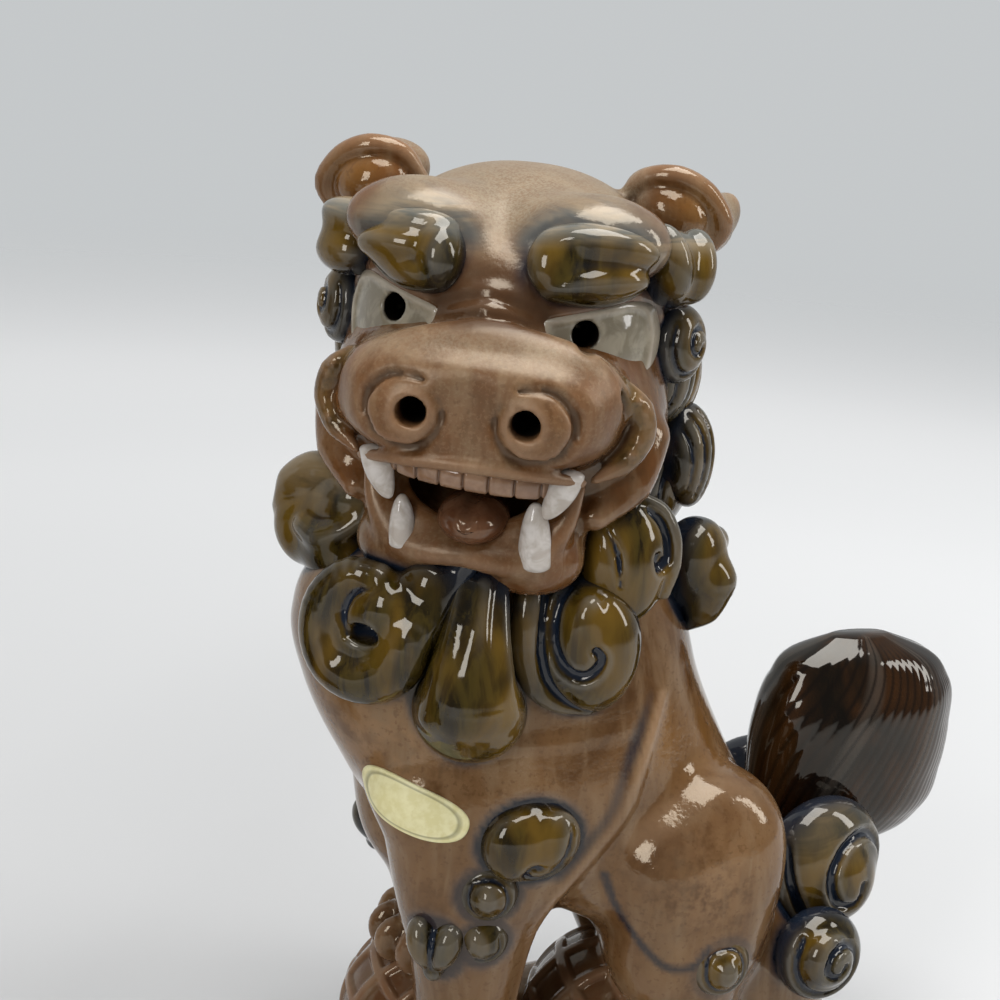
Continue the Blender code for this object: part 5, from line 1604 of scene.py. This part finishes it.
def make_floor():
    """A wide pale disc under the pair, which fades out towards its edge; its colour is darker near the pair
    and paler further off, as painted shade and light, and it glows more with distance as painted light.
    """
    turn = around(FLOOR_CORNERS)[0]
    verts = [(FLOOR_R * math.cos(t), FLOOR_R * math.sin(t), -FLOOR_DROP) for t in turn]
    mesh = bpy.data.meshes.new("floor")
    mesh.from_pydata(verts, [], [tuple(range(FLOOR_CORNERS))])
    floor = bpy.data.objects.new("floor", mesh)
    bpy.context.scene.collection.objects.link(floor)
    g = Graph("floor_white")
    white = settings().floor_white
    g.shader.inputs["Roughness"].default_value = 0.6
    g.shader.inputs["Specular IOR Level"].default_value = 0.3
    far = g.add("ShaderNodeVectorMath", operation="LENGTH")
    g.feed(g.place, far.inputs[0])
    far = far.outputs["Value"]
    # painted shade and light: the floor's colour is darker near the pair and paler further off
    painted_shade_near, painted_light_far = (white * 0.72,) * 3, (white * 1.05,) * 3
    g.feed(g.mix(g.span(far, 0.15, 0.60), painted_shade_near, painted_light_far), g.shader.inputs["Base Color"])
    # painted light: the floor glows more the further it lies from the pair, though it is no lamp
    g.shader.inputs["Emission Color"].default_value = (1.0, 1.0, 1.0, 1.0)
    g.feed(g.span(far, 0.40, 0.95, 0.0, 0.20), g.shader.inputs["Emission Strength"])
    clear = g.add("ShaderNodeBsdfTransparent")
    both = g.add("ShaderNodeMixShader")
    g.feed(g.span(far, 0.75, 1.9), both.inputs[0])
    g.feed(g.shader.outputs["BSDF"], both.inputs[1])
    g.feed(clear.outputs["BSDF"], both.inputs[2])
    g.feed(both.outputs["Shader"], g.tree.nodes["Material Output"].inputs["Surface"])
    mesh.materials.append(g.material)


SKY_FRONT = (0.15, 0.15, 0.155, 1.0)
SKY_BACK = (0.56, 0.58, 0.59, 1.0)
LAMP_AIM = (0.08, 0.0, 0.13)
# name, place and size in metres, and share of the lamps' power
LAMPS = (("softbox", (0.15, -0.10, 0.85), (0.60, 0.45), 0.86),
         ("window", (-0.75, -0.75, 0.60), (0.30, 0.60), 0.62),
         ("strip", (0.85, -0.35, 0.55), (0.15, 0.60), 0.30))


def make_lights():
    """A broad softbox overhead, a strip at each side, and a sky that is pale behind and grey in front."""
    world = bpy.data.worlds.new("studio")
    bpy.context.scene.world = world
    world.use_nodes = True
    tree = world.node_tree
    sky = tree.nodes["Background"]
    sky.inputs["Strength"].default_value = 1.0
    way = tree.nodes.new("ShaderNodeTexCoord")
    parts = tree.nodes.new("ShaderNodeSeparateXYZ")
    tree.links.new(way.outputs["Generated"], parts.inputs[0])
    shade = tree.nodes.new("ShaderNodeMapRange")
    shade.interpolation_type = "SMOOTHSTEP"
    tree.links.new(parts.outputs["Y"], shade.inputs["Value"])
    for key, number in (("From Min", -0.55), ("From Max", 0.45), ("To Min", 0.0), ("To Max", 1.0)):
        shade.inputs[key].default_value = number
    blend = tree.nodes.new("ShaderNodeMix")
    blend.data_type = "RGBA"
    tree.links.new(shade.outputs["Result"], blend.inputs["Factor"])
    blend.inputs["A"].default_value = SKY_FRONT
    blend.inputs["B"].default_value = SKY_BACK
    tree.links.new(blend.outputs["Result"], sky.inputs["Color"])
    for name, at, size, share in LAMPS:
        lamp = bpy.data.lights.new(name, "AREA")
        lamp.shape = "RECTANGLE"
        lamp.size, lamp.size_y = size
        lamp.energy = settings().lamp_power * share
        holder = bpy.data.objects.new(name, lamp)
        holder.location = at
        holder.rotation_euler = (Vector(LAMP_AIM) - Vector(at)).to_track_quat("-Z", "Y").to_euler()
        bpy.context.scene.collection.objects.link(holder)


CAMERA_AT = (-108.118, -286.288, 237.433)     # in the open-mouthed dog's frame
CAMERA_AZ = -18.0
CAMERA_EL = 16.0
CAMERA_ROLL = 4.0
CAMERA_LENS = 55.0
CAMERA_FILM = 36.0
CAMERA_NEAREST = 0.01


def make_camera():
    """The photograph's view: turned by AZ, looking down by EL, rolled by ROLL."""
    az, el, roll = (math.radians(a) for a in (CAMERA_AZ, CAMERA_EL, CAMERA_ROLL))
    ahead = Vector((-math.sin(az) * math.cos(el), math.cos(az) * math.cos(el), -math.sin(el)))
    level = Vector((math.cos(az), math.sin(az), 0.0))
    upright = level.cross(ahead)
    right = math.cos(roll) * level + math.sin(roll) * upright
    up = math.cos(roll) * upright - math.sin(roll) * level
    data = bpy.data.cameras.new("camera")
    data.lens, data.sensor_width = CAMERA_LENS, CAMERA_FILM
    data.clip_start = CAMERA_NEAREST
    camera = bpy.data.objects.new("camera", data)
    place = Vector((CAMERA_AT[0] + DOG_OFFSET, CAMERA_AT[1] + DOG_SETBACK, CAMERA_AT[2])) * MM
    camera.matrix_world = Matrix.Translation(place) @ Matrix((right, up, -ahead)).transposed().to_4x4()
    bpy.context.scene.collection.objects.link(camera)
    bpy.context.scene.camera = camera
    bpy.context.scene.view_settings.view_transform = "Standard"


MAKERS = (LIONDOG_OT_bodies, LIONDOG_OT_heads, LIONDOG_OT_eyes, LIONDOG_OT_brows, LIONDOG_OT_mouth,
          LIONDOG_OT_collar, LIONDOG_OT_mane, LIONDOG_OT_leg_curls, LIONDOG_OT_balls, LIONDOG_OT_tail,
          LIONDOG_OT_label, LIONDOG_OT_stage)


class LIONDOG_PT_panel(bpy.types.Panel):
    """Lists the pieces of the pair and their settings"""

    bl_idname = "LIONDOG_PT_panel"
    bl_label = "Lion-dogs"
    bl_space_type = "VIEW_3D"
    bl_region_type = "UI"
    bl_category = "Lion-dogs"

    def draw(self, context):
        for key in LionDogSettings.__annotations__:
            self.layout.prop(context.scene.lion_dogs, key)
        for maker in MAKERS:
            self.layout.operator(maker.bl_idname)


def register():
    for kind in (LionDogSettings,) + MAKERS + (LIONDOG_PT_panel,):
        bpy.utils.register_class(kind)
    bpy.types.Scene.lion_dogs = bpy.props.PointerProperty(type=LionDogSettings)


def unregister():
    del bpy.types.Scene.lion_dogs
    for kind in (LIONDOG_PT_panel,) + MAKERS[::-1] + (LionDogSettings,):
        bpy.utils.unregister_class(kind)


def main():
    register()
    for maker in MAKERS:
        group, name = maker.bl_idname.split(".")
        getattr(getattr(bpy.ops, group), name)()


if __name__ == "__main__":
    main()
